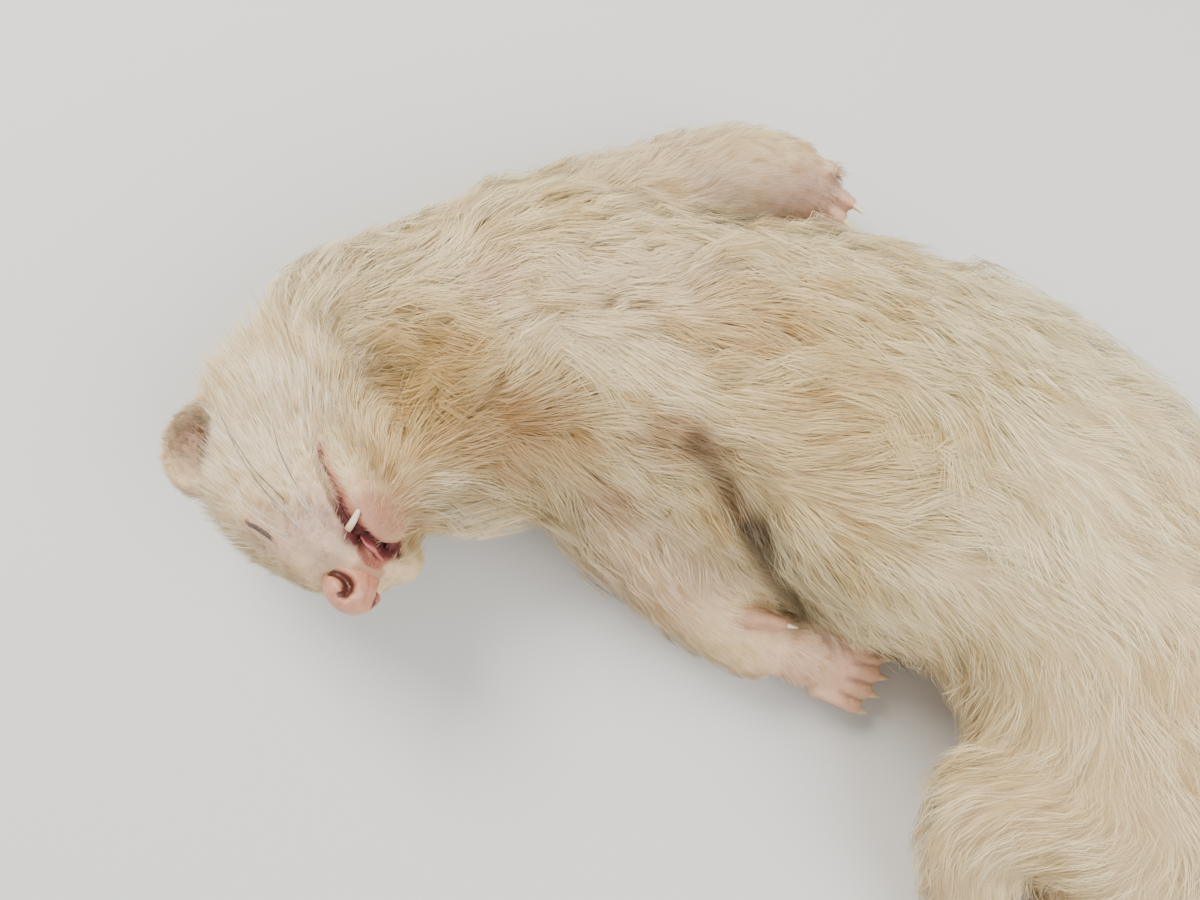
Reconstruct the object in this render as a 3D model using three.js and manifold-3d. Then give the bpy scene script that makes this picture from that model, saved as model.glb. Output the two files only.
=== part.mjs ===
// A life-size ferret asleep on its back: head turned aside, forelegs slack, body curled to its right.
// Millimetres, +Z up. The animal lies on the plane z = 0, with the origin under the middle of its box.
import * as THREE from "three";
import { mergeVertices } from "three/addons/utils/BufferGeometryUtils.js";
import Module from "manifold-3d";

const wasm = await Module();
wasm.setup();

// Driving dimensions
const GAP = 0.3; // left between two pieces that touch
const HEAD_LENGTH = 67.5; // nape to nose pad
const HEAD_PLAN_LENGTH = 75; // the length that the head's own figures are given for
const HEAD_SCALE = HEAD_LENGTH / HEAD_PLAN_LENGTH;
const FAR = 400; // longer than the animal

// Finishes
const FINISHES = {
  cream: { color: 0xe1dccd, roughness: 0.85 },
  tan: { color: 0xc8af87, roughness: 0.88 },
  paw: { color: 0xdcc3b4, roughness: 0.75 },
  nose: { color: 0xcd967d, roughness: 0.45 },
  lid: { color: 0xb59a8c, roughness: 0.6 },
  tongue: { color: 0xbe6e73, roughness: 0.35 },
  tooth: { color: 0xe8dcb0, roughness: 0.3 },
  claw: { color: 0xe1cdb4, roughness: 0.35 },
};

const vec = (x, y, z) => new THREE.Vector3(x, y, z);

// Where the head lies and how it is turned: its length, its left side and its crown as directions.
const HEAD_AT = vec(-71, 19, 20.5);
const HEAD_FORWARD = vec(0.389, -0.7935, 0.468).normalize();
const HEAD_LEFT = vec(-0.6023, 0.1654, 0.781).normalize();
const HEAD_UP = vec(0, 0, 0).crossVectors(HEAD_FORWARD, HEAD_LEFT);
const HEAD_FRAME = new THREE.Matrix4()
  .makeBasis(HEAD_FORWARD, HEAD_LEFT, HEAD_UP)
  .scale(vec(HEAD_SCALE, HEAD_SCALE, HEAD_SCALE))
  .setPosition(HEAD_AT);

// A point given in the head's plan, x from the nape forward, y to the left, z up from the mouth line.
const inHead = (x, y, z) => vec(x, y, z).applyMatrix4(HEAD_FRAME);

// A closed mesh as a solid, with its faces turned outwards.
function solidFrom(geometry) {
  const bare = geometry.clone();
  bare.deleteAttribute("normal");
  bare.deleteAttribute("uv");
  const merged = mergeVertices(bare, 1e-4);
  const places = merged.attributes.position;
  const corners = new Uint32Array(merged.index.array);
  const [a, b, c] = [vec(0, 0, 0), vec(0, 0, 0), vec(0, 0, 0)];
  let volume = 0;
  for (let i = 0; i < corners.length; i += 3) {
    a.fromBufferAttribute(places, corners[i]);
    b.fromBufferAttribute(places, corners[i + 1]);
    c.fromBufferAttribute(places, corners[i + 2]);
    volume += a.dot(b.cross(c));
  }
  if (volume < 0) {
    for (let i = 0; i < corners.length; i += 3) {
      [corners[i + 1], corners[i + 2]] = [corners[i + 2], corners[i + 1]];
    }
  }
  const mesh = { numProp: 3, vertProperties: new Float32Array(places.array), triVerts: corners };
  return new wasm.Manifold(new wasm.Mesh(mesh));
}

const join = (solids) => solids.reduce((sum, next) => sum.add(next));

// The largest closed surface of a solid, which leaves out loose scraps and sealed hollows.
function largest(solid) {
  const bodies = solid.decompose();
  return bodies.reduce((best, next) => (next.volume() > best.volume() ? next : best));
}

// Rings of points as one closed skin with its two ends filled. A ring has a middle, two directions,
// a half width, a height over and under the middle, and the power that squares it up.
function loft(rings, sides) {
  const places = [];
  const index = [];
  for (const ring of rings) {
    for (let i = 0; i < sides; i++) {
      const turn = (2 * Math.PI * i) / sides;
      const [c, s] = [Math.cos(turn), Math.sin(turn)];
      const out = Math.sign(c) * Math.abs(c) ** (2 / ring.power) * ring.wide;
      const rise = Math.sign(s) * Math.abs(s) ** (2 / ring.power) * (s > 0 ? ring.high : ring.low);
      const point = ring.at.clone().addScaledVector(ring.across, out).addScaledVector(ring.over, rise);
      places.push(point.x, point.y, point.z);
    }
  }
  for (const end of [rings[0], rings.at(-1)]) {
    const middle = end.at.clone().addScaledVector(end.over, (end.high - end.low) / 2);
    places.push(middle.x, middle.y, middle.z);
  }
  const last = (rings.length - 1) * sides;
  const first = rings.length * sides;
  for (let k = 0; k < rings.length - 1; k++) {
    for (let i = 0; i < sides; i++) {
      const [p, q] = [k * sides + i, k * sides + ((i + 1) % sides)];
      index.push(p, q, q + sides, p, q + sides, p + sides);
    }
  }
  for (let i = 0; i < sides; i++) {
    const j = (i + 1) % sides;
    index.push(first, j, i, first + 1, last + i, last + j);
  }
  const geometry = new THREE.BufferGeometry();
  geometry.setAttribute("position", new THREE.Float32BufferAttribute(places, 3));
  geometry.setIndex(index);
  return solidFrom(geometry);
}

// A limb, trunk or tail: stations of [x, y, z, half width, height over, height under] joined by a
// smooth curve. The heights are measured along the direction closest to `up`. `ends` are the angles
// of the rings that round off the two ends.
const TUBE = { up: vec(0, 0, 1), sides: 16, steps: 12, power: 2.1, grow: 0, ends: [20, 52] };
function tube(stations, options) {
  const { up, sides, steps, power, grow, ends } = { ...TUBE, ...options };
  const curve = new THREE.CatmullRomCurve3(stations.map((s) => vec(s[0], s[1], s[2])));
  const sizes = new THREE.CatmullRomCurve3(
    stations.map(([, , , wide, high = wide, low = high]) => vec(wide, high, low)),
  );
  const ring = (t, shift, share) => {
    const along = curve.getTangent(t);
    const over = up.clone().addScaledVector(along, -up.dot(along)).normalize();
    const across = vec(0, 0, 0).crossVectors(along, over);
    const size = sizes.getPoint(t).addScalar(grow);
    const reach = Math.min(size.x, (size.y + size.z) / 2);
    const at = curve.getPoint(t).addScaledVector(along, shift * reach);
    return { at, across, over, wide: size.x * share, high: size.y * share, low: size.z * share, power };
  };
  const turns = ends.map((degrees) => THREE.MathUtils.degToRad(degrees));
  const rings = turns.map((turn) => ring(0, -Math.cos(turn), Math.sin(turn)));
  for (let i = 0; i <= steps; i++) rings.push(ring(i / steps, 0, 1));
  for (const turn of turns.reverse()) rings.push(ring(1, Math.cos(turn), Math.sin(turn)));
  return loft(rings, sides);
}

// A form given by cross sections of the head's plan: [x, half width, top, bottom].
function headForm(sections, { sides = 28, steps = 22, power = 2.3, grow = 0 } = {}) {
  const curve = new THREE.CatmullRomCurve3(sections.map(([x, wide]) => vec(x, wide, 0)));
  const heights = new THREE.CatmullRomCurve3(sections.map(([, , top, bottom]) => vec(top, bottom, 0)));
  const extra = grow / HEAD_SCALE;
  const rings = [];
  for (let i = 0; i <= steps; i++) {
    const [line, height] = [curve.getPoint(i / steps), heights.getPoint(i / steps)];
    const shift = i === 0 ? -extra : i === steps ? extra : 0;
    const half = ((height.x - height.y) / 2 + extra) * HEAD_SCALE;
    rings.push({
      at: inHead(line.x + shift, 0, (height.x + height.y) / 2),
      across: HEAD_LEFT,
      over: HEAD_UP,
      wide: (line.y + extra) * HEAD_SCALE,
      high: half,
      low: half,
      power,
    });
  }
  return loft(rings, sides);
}

// An egg-shaped form: its middle, its three half axes as directions, and their lengths.
function egg(at, directions, [a, b, c], grow = 0, detail = [12, 8]) {
  const [x, y, z] = directions;
  const frame = new THREE.Matrix4().makeBasis(
    x.clone().multiplyScalar(a + grow),
    y.clone().multiplyScalar(b + grow),
    z.clone().multiplyScalar(c + grow),
  );
  frame.setPosition(at);
  return solidFrom(new THREE.SphereGeometry(1, ...detail).applyMatrix4(frame));
}

// Three square directions from a first one and a second one that is close to the wanted one.
function squareDirections(first, second) {
  const a = first.clone().normalize();
  const b = second.clone().addScaledVector(a, -second.dot(a)).normalize();
  return [a, b, vec(0, 0, 0).crossVectors(a, b)];
}

// All that lies beyond a plane, as a block: the plane goes through `at` and faces `along`.
function beyond(at, along) {
  const second = Math.abs(along.z) > 0.9 ? vec(1, 0, 0) : vec(0, 0, 1);
  const directions = squareDirections(along, second);
  const frame = new THREE.Matrix4().makeBasis(...directions);
  frame.setPosition(at.clone().addScaledVector(directions[0], FAR / 2));
  return solidFrom(new THREE.BoxGeometry(FAR, FAR, FAR).applyMatrix4(frame));
}

const FLOOR = beyond(vec(0, 0, 0), vec(0, 0, -1));

// The trunk from the shoulders to the root of the tail, and its parting planes.
const TRUNK = [
  [-32, 26, 29, 38, 31, 30],
  [-15, 23.5, 30, 40, 33, 31],
  [2, 21, 30, 39.5, 35, 31],
  [20, 16, 30, 40, 36, 31],
  [40, 11, 30, 41.5, 36, 31],
  [60, 4, 30, 43.5, 36, 31],
  [79, -5, 30, 45.5, 36, 31],
  [97, -16, 29, 43.5, 35, 30],
  [110, -32, 28, 40, 33, 29],
  [118, -52, 27, 38, 31, 28],
  [121, -73, 26, 36, 30, 27],
  [121, -92, 23, 28, 26, 24],
];
const CHEST_END = { at: vec(40, 18, 30), along: vec(0.87, -0.5, 0) };
const BELLY_END = { at: vec(111, -34, 28), along: vec(0.42, -0.9, 0) };

// The neck in two masses: the nape, which follows the backbone, and the throat under the jaw.
const NAPE = [
  [-72, 13, 20, 18, 18],
  [-69, 21, 20, 20, 20],
  [-60, 27, 23, 21, 23],
  [-46, 28, 28, 25.5, 28],
  [-28, 27, 30, 33.5, 31],
];
const THROAT = [
  [-56, -5, 34, 14, 11],
  [-47, -4, 31, 19.5, 18],
  [-36, 2, 30, 22.5, 24],
  [-20, 17, 30, 31, 30],
];
const NECK_END = { at: vec(-33, 26, 30), along: vec(0.97, -0.1, 0.05) };

const trunkSolid = (grow) => tube(TRUNK, { sides: 26, steps: 17, power: 2.25, grow });
const neckSolid = (grow) =>
  tube(NAPE, { sides: 20, steps: 6, grow }).add(tube(THROAT, { sides: 16, steps: 4, grow }));

// Cross sections of the head: [x from the nape, half width, top, bottom].
const SKULL = [
  [-12, 8, 17, 1],
  [-10, 17.5, 23, -5],
  [-5, 22.5, 27.5, -11],
  [3, 25.6, 31, -14],
  [12, 27, 33, -15],
  [20, 27.8, 34, -15],
  [28, 27.4, 34.2, -13.5],
  [36, 25.6, 33.4, -11.5],
  [42, 23.6, 31.8, -9],
  [48, 21, 29, -4.5],
  [54, 18.6, 25.6, -1.4],
  [60, 16.2, 21.8, -0.4],
  [65, 13.6, 18.2, 0.4],
  [68.5, 10.8, 15.8, 1.6],
  [70.5, 7.4, 13.8, 3],
];
// The right pad hangs lower, because that side of the head lies undermost.
const WHISKER_PADS = [
  { at: [60, 9.5, 4.5], size: [8, 6.4, 4.6] },
  { at: [60, -11.5, 2.6], size: [8.5, 6.6, 5.4] },
];
const LOWER_JAW = [
  [32, 9, -4.6, -9.4],
  [38, 11.8, -3.8, -11.4],
  [44, 12.8, -3.4, -12],
  [51, 11, -3.2, -11.4],
  [57, 9.4, -3.2, -10.6],
  [62, 7.4, -3.6, -9.4],
  [65, 4.4, -4.6, -7.6],
];
const NOSE_PAD = [
  [66, 5.2, 13.6, 4.6],
  [69.5, 7.1, 14.8, 3.2],
  [72.5, 7.1, 14.4, 3.4],
  [74.6, 5.7, 13.2, 4.4],
  [75.6, 2.8, 11.2, 6.4],
];
const TONGUE = [
  [49, 4.6, -1.9, -3],
  [55, 5, -1.7, -3],
  [61, 4.6, -0.9, -2.6],
  [65.4, 2.8, -0.2, -1.8],
];

const skullSolid = (grow) => {
  const pads = WHISKER_PADS.map(({ at, size }) =>
    egg(inHead(...at), [HEAD_FORWARD, HEAD_LEFT, HEAD_UP], size, grow, [12, 8]),
  );
  return join([headForm(SKULL, { sides: 24, steps: 18, grow }), ...pads]);
};
const jawSolid = (grow) => headForm(LOWER_JAW, { sides: 18, steps: 8, power: 2.2, grow });
const nosePadSolid = (grow) => headForm(NOSE_PAD, { sides: 18, steps: 6, power: 2.4, grow });

// What lies on both sides of the head is given for the left and mirrored by the sign of y.
const SIDES = { left: 1, right: -1 };
const headDirection = (x, y, z) =>
  vec(0, 0, 0)
    .addScaledVector(HEAD_FORWARD, x)
    .addScaledVector(HEAD_LEFT, y)
    .addScaledVector(HEAD_UP, z)
    .normalize();

// A shut eye: a low mound of the two lids with the slit between them.
const CANTHI = { inner: [58.8, 15.2, 13.4], outer: [49.4, 19.6, 16.6] };
const EYE = { reach: 0.8, across: 3, deep: 3, sunk: 1.5, slit: 0.6 };
function eyeForm(side, grow = 0) {
  const mirror = ([x, y, z]) => inHead(x, y * side, z);
  const [inner, outer] = [mirror(CANTHI.inner), mirror(CANTHI.outer)];
  const out = headDirection(0.46, 0.82 * side, 0.32);
  const directions = squareDirections(outer.clone().sub(inner), out);
  const middle = inner.clone().lerp(outer, 0.5).addScaledVector(directions[1], -EYE.sunk);
  const half = inner.distanceTo(outer) / 2 + EYE.reach;
  return { middle, directions, half, solid: egg(middle, directions, [half, EYE.deep, EYE.across], grow) };
}
function eyeSolid(side) {
  const { middle, directions, half, solid } = eyeForm(side);
  const frame = new THREE.Matrix4().makeBasis(...directions);
  frame.setPosition(middle.clone().addScaledVector(directions[1], EYE.deep));
  const slit = new THREE.BoxGeometry(2 * half - 2 * EYE.reach, 1.6, EYE.slit).applyMatrix4(frame);
  return solid.subtract(solidFrom(slit));
}

// A low, round, cupped ear, set on the side of the skull and open forwards and outwards.
const EAR = { root: [20.5, 21.5, 19.5], rise: [-0.53, 0.6, 0.6], length: [0.75, -0.2, 0.6] };
const EAR_SHELL = { shift: 0.8, size: [12.2, 11.4, 5] };
const EAR_CUP = { shift: 2.4, open: 3.4, size: [10.2, 8.8, 5.6] };
function earSolid(side) {
  const across = (v) => headDirection(v[0], v[1] * side, v[2]);
  const [rise, length, open] = squareDirections(across(EAR.rise), across(EAR.length));
  const mouth = open.multiplyScalar(side);
  const root = inHead(EAR.root[0], EAR.root[1] * side, EAR.root[2]);
  const directions = [length, rise, mouth];
  const shellAt = root.clone().addScaledVector(rise, EAR_SHELL.shift);
  const cupAt = root.clone().addScaledVector(rise, EAR_CUP.shift).addScaledVector(mouth, EAR_CUP.open);
  return egg(shellAt, directions, EAR_SHELL.size, 0, [16, 12]).subtract(
    egg(cupAt, directions, EAR_CUP.size, 0, [16, 12]),
  );
}

// The nostrils: a round opening in front that runs out to the side as a slit.
const NOSTRILS = [
  { at: [74, 4.4, 8], size: [2.2, 1.3, 1.6] },
  { at: [72.4, 6.2, 6.8], size: [2.2, 1.7, 0.8] },
];
function nostril(side) {
  return join(
    NOSTRILS.map(({ at, size }) =>
      egg(inHead(at[0], at[1] * side, at[2]), [HEAD_FORWARD, HEAD_LEFT, HEAD_UP], size, 0, [8, 6]),
    ),
  );
}

const CANINE = [
  [61.4, 7.7, 0.5, 1.2],
  [61.7, 8.3, -1.8, 1.1],
  [61.9, 8.7, -4.2, 0.8],
  [61.7, 8.7, -6.6, 0.35],
];
const canineSolid = (grow) =>
  tube(
    CANINE.map(([x, y, z, radius]) => [...inHead(x, y, z).toArray(), radius]),
    { up: HEAD_FORWARD, sides: 7, steps: 3, ends: [50], grow },
  );

// A leg: its stations from the body outwards, and the two places where it is parted.
const LEGS = {
  arm_left: {
    names: ["arm_upper_left", "forearm_left"],
    paw: "paw_left",
    stations: [
      [-10, 47, 30, 22, 21],
      [8, 60, 27, 18, 18],
      [24, 71, 22, 15.5, 15],
      [38, 76.5, 19.5, 14.5, 14],
      [49, 77, 19, 11.5, 11.5],
    ],
    parting: { at: [25, 71, 22], along: [0.92, 0.39, 0] },
  },
  arm_right: {
    names: ["arm_upper_right", "forearm_right"],
    paw: "paw_right",
    stations: [
      [-4, 4, 36, 21, 19],
      [6, -11, 28, 19, 17],
      [17, -25, 20, 15.5, 15],
      [28, -37, 16, 12.5, 12],
      [37, -44.5, 14.5, 10, 9.5],
    ],
    parting: { at: [18, -26.5, 19], along: [0.65, -0.72, -0.25] },
  },
  leg_right: {
    names: ["thigh_right", "shank_right"],
    paw: "foot_right",
    stations: [
      [106, -80, 31, 22, 20],
      [93, -79, 31, 19, 17],
      [84, -84, 27, 15, 14],
      [82, -97, 19, 11, 11],
      [83, -109, 12, 8.5, 8.5],
    ],
    parting: { at: [83.5, -86, 26], along: [-0.2, -0.85, -0.5] },
  },
  leg_left: {
    names: ["thigh_left", "shank_left"],
    paw: "foot_left",
    stations: [
      [136, -80, 31, 22, 20],
      [150, -78, 31, 19, 17],
      [160, -82, 27, 15, 14],
      [164, -95, 19, 11, 11],
      [165, -107, 12, 8.5, 8.5],
    ],
    parting: { at: [160.5, -84, 26], along: [0.3, -0.85, -0.5] },
  },
};
const legSolid = (leg, grow) => tube(leg.stations, { sides: 14, steps: 8, grow });

// A paw from the wrist or heel on: `along` is its length, `palm` the way its sole looks, and `thumb`
// the side of the first toe. A foot has a longer sole than a hand.
const PAWS = {
  paw_left: {
    at: [51, 76, 19],
    along: [0.8, -0.58, -0.1],
    palm: [-0.45, -0.5, 0.75],
    thumb: -1,
    sole: 10,
    wide: 8,
  },
  paw_right: {
    at: [40, -44.5, 15],
    along: [0.9, -0.44, -0.06],
    palm: [0.1, 0.25, -0.92],
    thumb: 1,
    sole: 18.5,
    wide: 8.6,
  },
  foot_right: {
    at: [83, -113, 9.5],
    along: [-0.28, -0.95, -0.08],
    palm: [0.5, -0.1, 0.85],
    thumb: -1,
    sole: 22,
    wide: 7.6,
  },
  foot_left: {
    at: [166, -111, 9.5],
    along: [0.35, -0.93, -0.08],
    palm: [-0.5, -0.1, 0.85],
    thumb: 1,
    sole: 22,
    wide: 7.6,
  },
};
const TOES = 5;
// `first` is the share of the inner toe's length, `thumbBack` how far behind the knuckles it stands, as a
// share of the sole, and `fanBack` how far the outer toes stand back.
const TOE = { length: 8.5, radius: 2.5, spread: 0.2, curl: 0.6, first: 0.62, thumbBack: 0.55, fanBack: 9 };
const CLAW = { length: 4.2, radius: 1.05, sunk: 1.4 };
const PAW_DEPTH = 0.72; // of its half width

// The frame of a paw and the route of each toe, which fans out across it and curls to the sole.
function pawPlan(paw) {
  const [along, palm, across] = squareDirections(vec(...paw.along), vec(...paw.palm));
  const wrist = vec(...paw.at);
  const knuckles = wrist.clone().addScaledVector(along, paw.sole);
  const toes = [];
  for (let i = 0; i < TOES; i++) {
    const place = paw.thumb * (0.5 - i / (TOES - 1));
    const share = i === 0 ? TOE.first : 1;
    const way = along
      .clone()
      .addScaledVector(across, 2 * place * TOE.spread)
      .normalize();
    const back = i === 0 ? -TOE.thumbBack * paw.sole : -TOE.fanBack * place * place;
    const root = knuckles
      .clone()
      .addScaledVector(along, back - 2)
      .addScaledVector(across, 2 * place * (paw.wide - 1.4));
    const middle = root.clone().addScaledVector(way, TOE.length * share * 0.6);
    middle.addScaledVector(palm, 0.1 * TOE.length);
    const bend = way.clone().addScaledVector(palm, TOE.curl).normalize();
    const tip = middle.clone().addScaledVector(bend, TOE.length * share * 0.55);
    toes.push({ route: [root, middle, tip], bend, palm });
  }
  return { along, palm, across, wrist, knuckles, toes };
}

function handSolid(paw, grow) {
  const plan = pawPlan(paw);
  const depth = paw.wide * PAW_DEPTH;
  const stations = [
    [0, 0.92, 1.15],
    [0.45, 0.92, 1.05],
    [0.85, 1, 0.95],
    [1.02, 0.9, 0.8],
  ].map(([share, wide, high]) => {
    const at = plan.wrist.clone().addScaledVector(plan.along, share * paw.sole);
    return [...at.toArray(), paw.wide * wide, depth * high];
  });
  return tube(stations, { up: plan.palm, sides: 12, steps: 4, grow });
}

function pawSolid(paw, grow = 0) {
  const plan = pawPlan(paw);
  const toes = plan.toes.map(({ route }) =>
    tube(
      route.map((p, k) => [...p.toArray(), TOE.radius * [1.1, 1.05, 0.85][k]]),
      { up: plan.palm, sides: 7, steps: 2, grow },
    ),
  );
  return join([handSolid(paw, grow), ...toes]);
}

// A short curved claw on a toe's tip.
function clawSolid(toe) {
  const tip = toe.route.at(-1).clone().addScaledVector(toe.bend, TOE.radius * 0.6);
  const stations = [-CLAW.sunk, CLAW.length * 0.4, CLAW.length * 0.95].map((reach, k) => {
    const at = tip.clone().addScaledVector(toe.bend, reach);
    at.addScaledVector(toe.palm, 0.5 * CLAW.radius * k * k);
    return [...at.toArray(), CLAW.radius * [1, 0.8, 0.3][k]];
  });
  return tube(stations, { up: toe.palm, sides: 6, steps: 2, ends: [40] });
}

// The tail lies on the floor and is divided into three lengths.
const TAIL = [
  [121, -98, 16, 17, 15],
  [119, -116, 12.5, 12.5, 12],
  [111, -139, 11.5, 12.5, 12],
  [98, -160, 11, 12, 11.5],
  [80, -178, 10, 11, 10.5],
  [60, -191, 8.5, 8.5, 8.5],
  [42, -199, 5, 4.5, 4.5],
];
const TAIL_PARTINGS = [
  { at: [108, -145, 11], along: [-0.5, -0.86, 0] },
  { at: [80, -178, 10], along: [-0.78, -0.62, 0] },
];
const tailSolid = (grow) => tube(TAIL, { sides: 12, steps: 14, grow });

// Every node as [name, solid, finish], from the head to the tail.
function makeNodes() {
  const nodes = [];
  const add = (name, solid, finish) => nodes.push([name, largest(solid.subtract(FLOOR)), finish]);
  const wider = GAP;

  const eyes = Object.values(SIDES).map((side) => eyeForm(side, wider).solid);
  const headCut = join([jawSolid(wider), nosePadSolid(wider), canineSolid(wider), ...eyes]);
  const tongue = headForm(TONGUE, { sides: 12, steps: 6, power: 2 });
  const tongueWider = headForm(TONGUE, { sides: 12, steps: 6, power: 2, grow: wider });
  const head = largest(skullSolid(0).subtract(headCut).subtract(tongueWider));
  add("head", head, "cream");
  add("jaw", jawSolid(0).subtract(canineSolid(wider)).subtract(tongueWider), "cream");
  add("nose", nosePadSolid(0).subtract(nostril(1)).subtract(nostril(-1)), "nose");
  add("tongue", tongue, "tongue");
  add("canine_left", canineSolid(0), "tooth");
  const headWider = skullSolid(wider);
  for (const [name, side] of Object.entries(SIDES)) {
    add("eye_" + name, eyeSolid(side), "lid");
    add("ear_" + name, earSolid(side).subtract(headWider), "cream");
  }

  const headAndJaw = join([headWider, jawSolid(wider), tongueWider]);
  const neckWhole = neckSolid(0).subtract(headAndJaw);
  add("neck", neckWhole.subtract(beyond(NECK_END.at, NECK_END.along.clone().normalize())), "tan");
  const front = beyond(
    NECK_END.at.clone().addScaledVector(NECK_END.along, GAP),
    NECK_END.along.clone().normalize(),
  );
  const body = trunkSolid(0).add(neckSolid(0)).subtract(headAndJaw).intersect(front);
  const cutBack = ({ at, along }) => beyond(at, along.clone().normalize());
  const cutFront = ({ at, along }) => {
    const way = along.clone().normalize();
    return beyond(at.clone().addScaledVector(way, GAP), way);
  };
  add("chest", body.subtract(cutBack(CHEST_END)), "tan");
  add("belly", body.intersect(cutFront(CHEST_END)).subtract(cutBack(BELLY_END)), "tan");
  add("hips", body.intersect(cutFront(BELLY_END)), "tan");

  const bodyWider = trunkSolid(wider).add(neckSolid(wider)).add(headAndJaw);
  const parting = ({ at, along }) => ({ at: vec(...at), along: vec(...along) });

  for (const leg of Object.values(LEGS)) {
    const pawName = leg.paw;
    const paw = PAWS[pawName];
    const pawWider = pawSolid(paw, wider);
    const whole = legSolid(leg, 0).subtract(bodyWider).subtract(pawWider);
    const cut = parting(leg.parting);
    add(leg.names[0], whole.subtract(cutBack(cut)), "tan");
    add(leg.names[1], whole.intersect(cutFront(cut)), "paw");
    add(pawName, pawSolid(paw).subtract(bodyWider), "paw");
    pawPlan(paw).toes.forEach((toe, i) => {
      add(`claw_${pawName}_${i + 1}`, clawSolid(toe).subtract(pawWider).subtract(bodyWider), "claw");
    });
  }

  const tail = tailSolid(0).subtract(bodyWider);
  const [first, second] = TAIL_PARTINGS.map(parting);
  add("tail_base", tail.subtract(cutBack(first)), "cream");
  add("tail_mid", tail.intersect(cutFront(first)).subtract(cutBack(second)), "cream");
  add("tail_tip", tail.intersect(cutFront(second)), "cream");
  return nodes;
}

function meshFrom(name, solid, finish) {
  const { numProp, vertProperties, triVerts } = solid.getMesh();
  const places = [];
  for (let i = 0; i < vertProperties.length; i += numProp) {
    places.push(...vertProperties.subarray(i, i + 3));
  }
  const geometry = new THREE.BufferGeometry();
  geometry.setAttribute("position", new THREE.Float32BufferAttribute(places, 3));
  geometry.setIndex([...triVerts]);
  geometry.computeVertexNormals();
  const material = new THREE.MeshStandardMaterial({ ...FINISHES[finish], metalness: 0 });
  const mesh = new THREE.Mesh(geometry, material);
  mesh.name = name;
  return mesh;
}

const ferret = new THREE.Group();
for (const [name, solid, finish] of makeNodes()) ferret.add(meshFrom(name, solid, finish));

// The origin goes under the middle of the animal's box, on the plane it lies on.
const whole = new THREE.Box3().setFromObject(ferret);
const middle = whole.getCenter(vec(0, 0, 0));
const part = new THREE.Group();
ferret.position.set(-middle.x, -middle.y, 0);
part.add(ferret);

export default part;
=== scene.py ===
"""The looks of a life-size ferret asleep on its back: its skin, its coat and the bare parts of its face."""

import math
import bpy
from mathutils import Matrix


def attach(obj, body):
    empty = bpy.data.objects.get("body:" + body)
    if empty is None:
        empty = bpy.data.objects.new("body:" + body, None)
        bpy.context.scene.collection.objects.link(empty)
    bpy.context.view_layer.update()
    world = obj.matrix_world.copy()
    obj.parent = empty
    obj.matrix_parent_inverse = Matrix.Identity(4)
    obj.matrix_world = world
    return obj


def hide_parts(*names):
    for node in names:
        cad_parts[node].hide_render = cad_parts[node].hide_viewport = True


bl_info = {
    "name": "Sleeping ferret",
    "version": (1, 0, 0),
    "blender": (4, 5, 0),
    "location": "3D View > Sidebar > Ferret",
    "description": "Builds the skin, coat, face and studio round the ferret's packed solids",
    "category": "Object",
}

from collections import namedtuple

import bmesh
import bpy
import numpy as np
from bpy.props import FloatProperty, FloatVectorProperty, IntProperty, PointerProperty
from mathutils import Vector
from mathutils.bvhtree import BVHTree
from mathutils.kdtree import KDTree

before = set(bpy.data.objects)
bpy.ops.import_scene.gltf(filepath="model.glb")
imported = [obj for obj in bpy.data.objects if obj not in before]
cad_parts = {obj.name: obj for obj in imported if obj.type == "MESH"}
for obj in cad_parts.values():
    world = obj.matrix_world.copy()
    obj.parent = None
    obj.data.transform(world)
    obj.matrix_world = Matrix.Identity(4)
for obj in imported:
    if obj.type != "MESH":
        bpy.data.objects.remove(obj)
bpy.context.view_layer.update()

MM = 0.001
BODY = "root"

# The animal's plan is in millimetres, as its solids have it. This moves it to the part's origin.
MOVED = np.array((-41.285, 56.332, 0.0))


def placed(points):
    """Points of the plan as the part has them, in metres."""
    return (np.asarray(points, float) + MOVED) * MM


def planned(points):
    """Points of the part as the plan has them, in millimetres."""
    return np.asarray(points, float) / MM - MOVED


def unit(vectors):
    """Vectors at length one."""
    vectors = np.asarray(vectors, float)
    length = np.linalg.norm(vectors, axis=-1, keepdims=True)
    return vectors / np.maximum(length, 1e-9)


# The head's own frame: x from the nape forward, y to its left, z up from the mouth line.
HEAD_AT = np.array((-71.0, 19.0, 20.5))
HEAD_SCALE = 0.9
FORWARD = unit((0.389, -0.7935, 0.468))
LEFT = unit((-0.6023, 0.1654, 0.781))
CROWN = np.cross(FORWARD, LEFT)
HEAD_AXES = np.array((FORWARD, LEFT, CROWN))


def to_head(points):
    """Points of the plan in the head's frame."""
    return (np.asarray(points, float) - HEAD_AT) @ HEAD_AXES.T / HEAD_SCALE


def from_head(points):
    """Points of the head's frame in the plan."""
    return HEAD_AT + HEAD_SCALE * (np.asarray(points, float) @ HEAD_AXES)


# The back's middle line, from the head to the end of the tail. The fur lies along it.
SPINE = np.array(
    [(-72, 13, 20), (-60, 27, 23), (-46, 28, 28), (-28, 27, 30), (2, 27, 30), (20, 24, 30), (40, 18, 30)]
    + [(60, 7, 30), (79, -4, 30), (97, -16, 29), (110, -32, 28), (118, -52, 27), (121, -73, 26)]
    + [(121, -92, 23), (119, -116, 12.5), (111, -139, 11.5), (98, -160, 11), (80, -178, 10)]
    + [(60, -191, 8.5), (42, -199, 5)],
    float,
)
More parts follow.
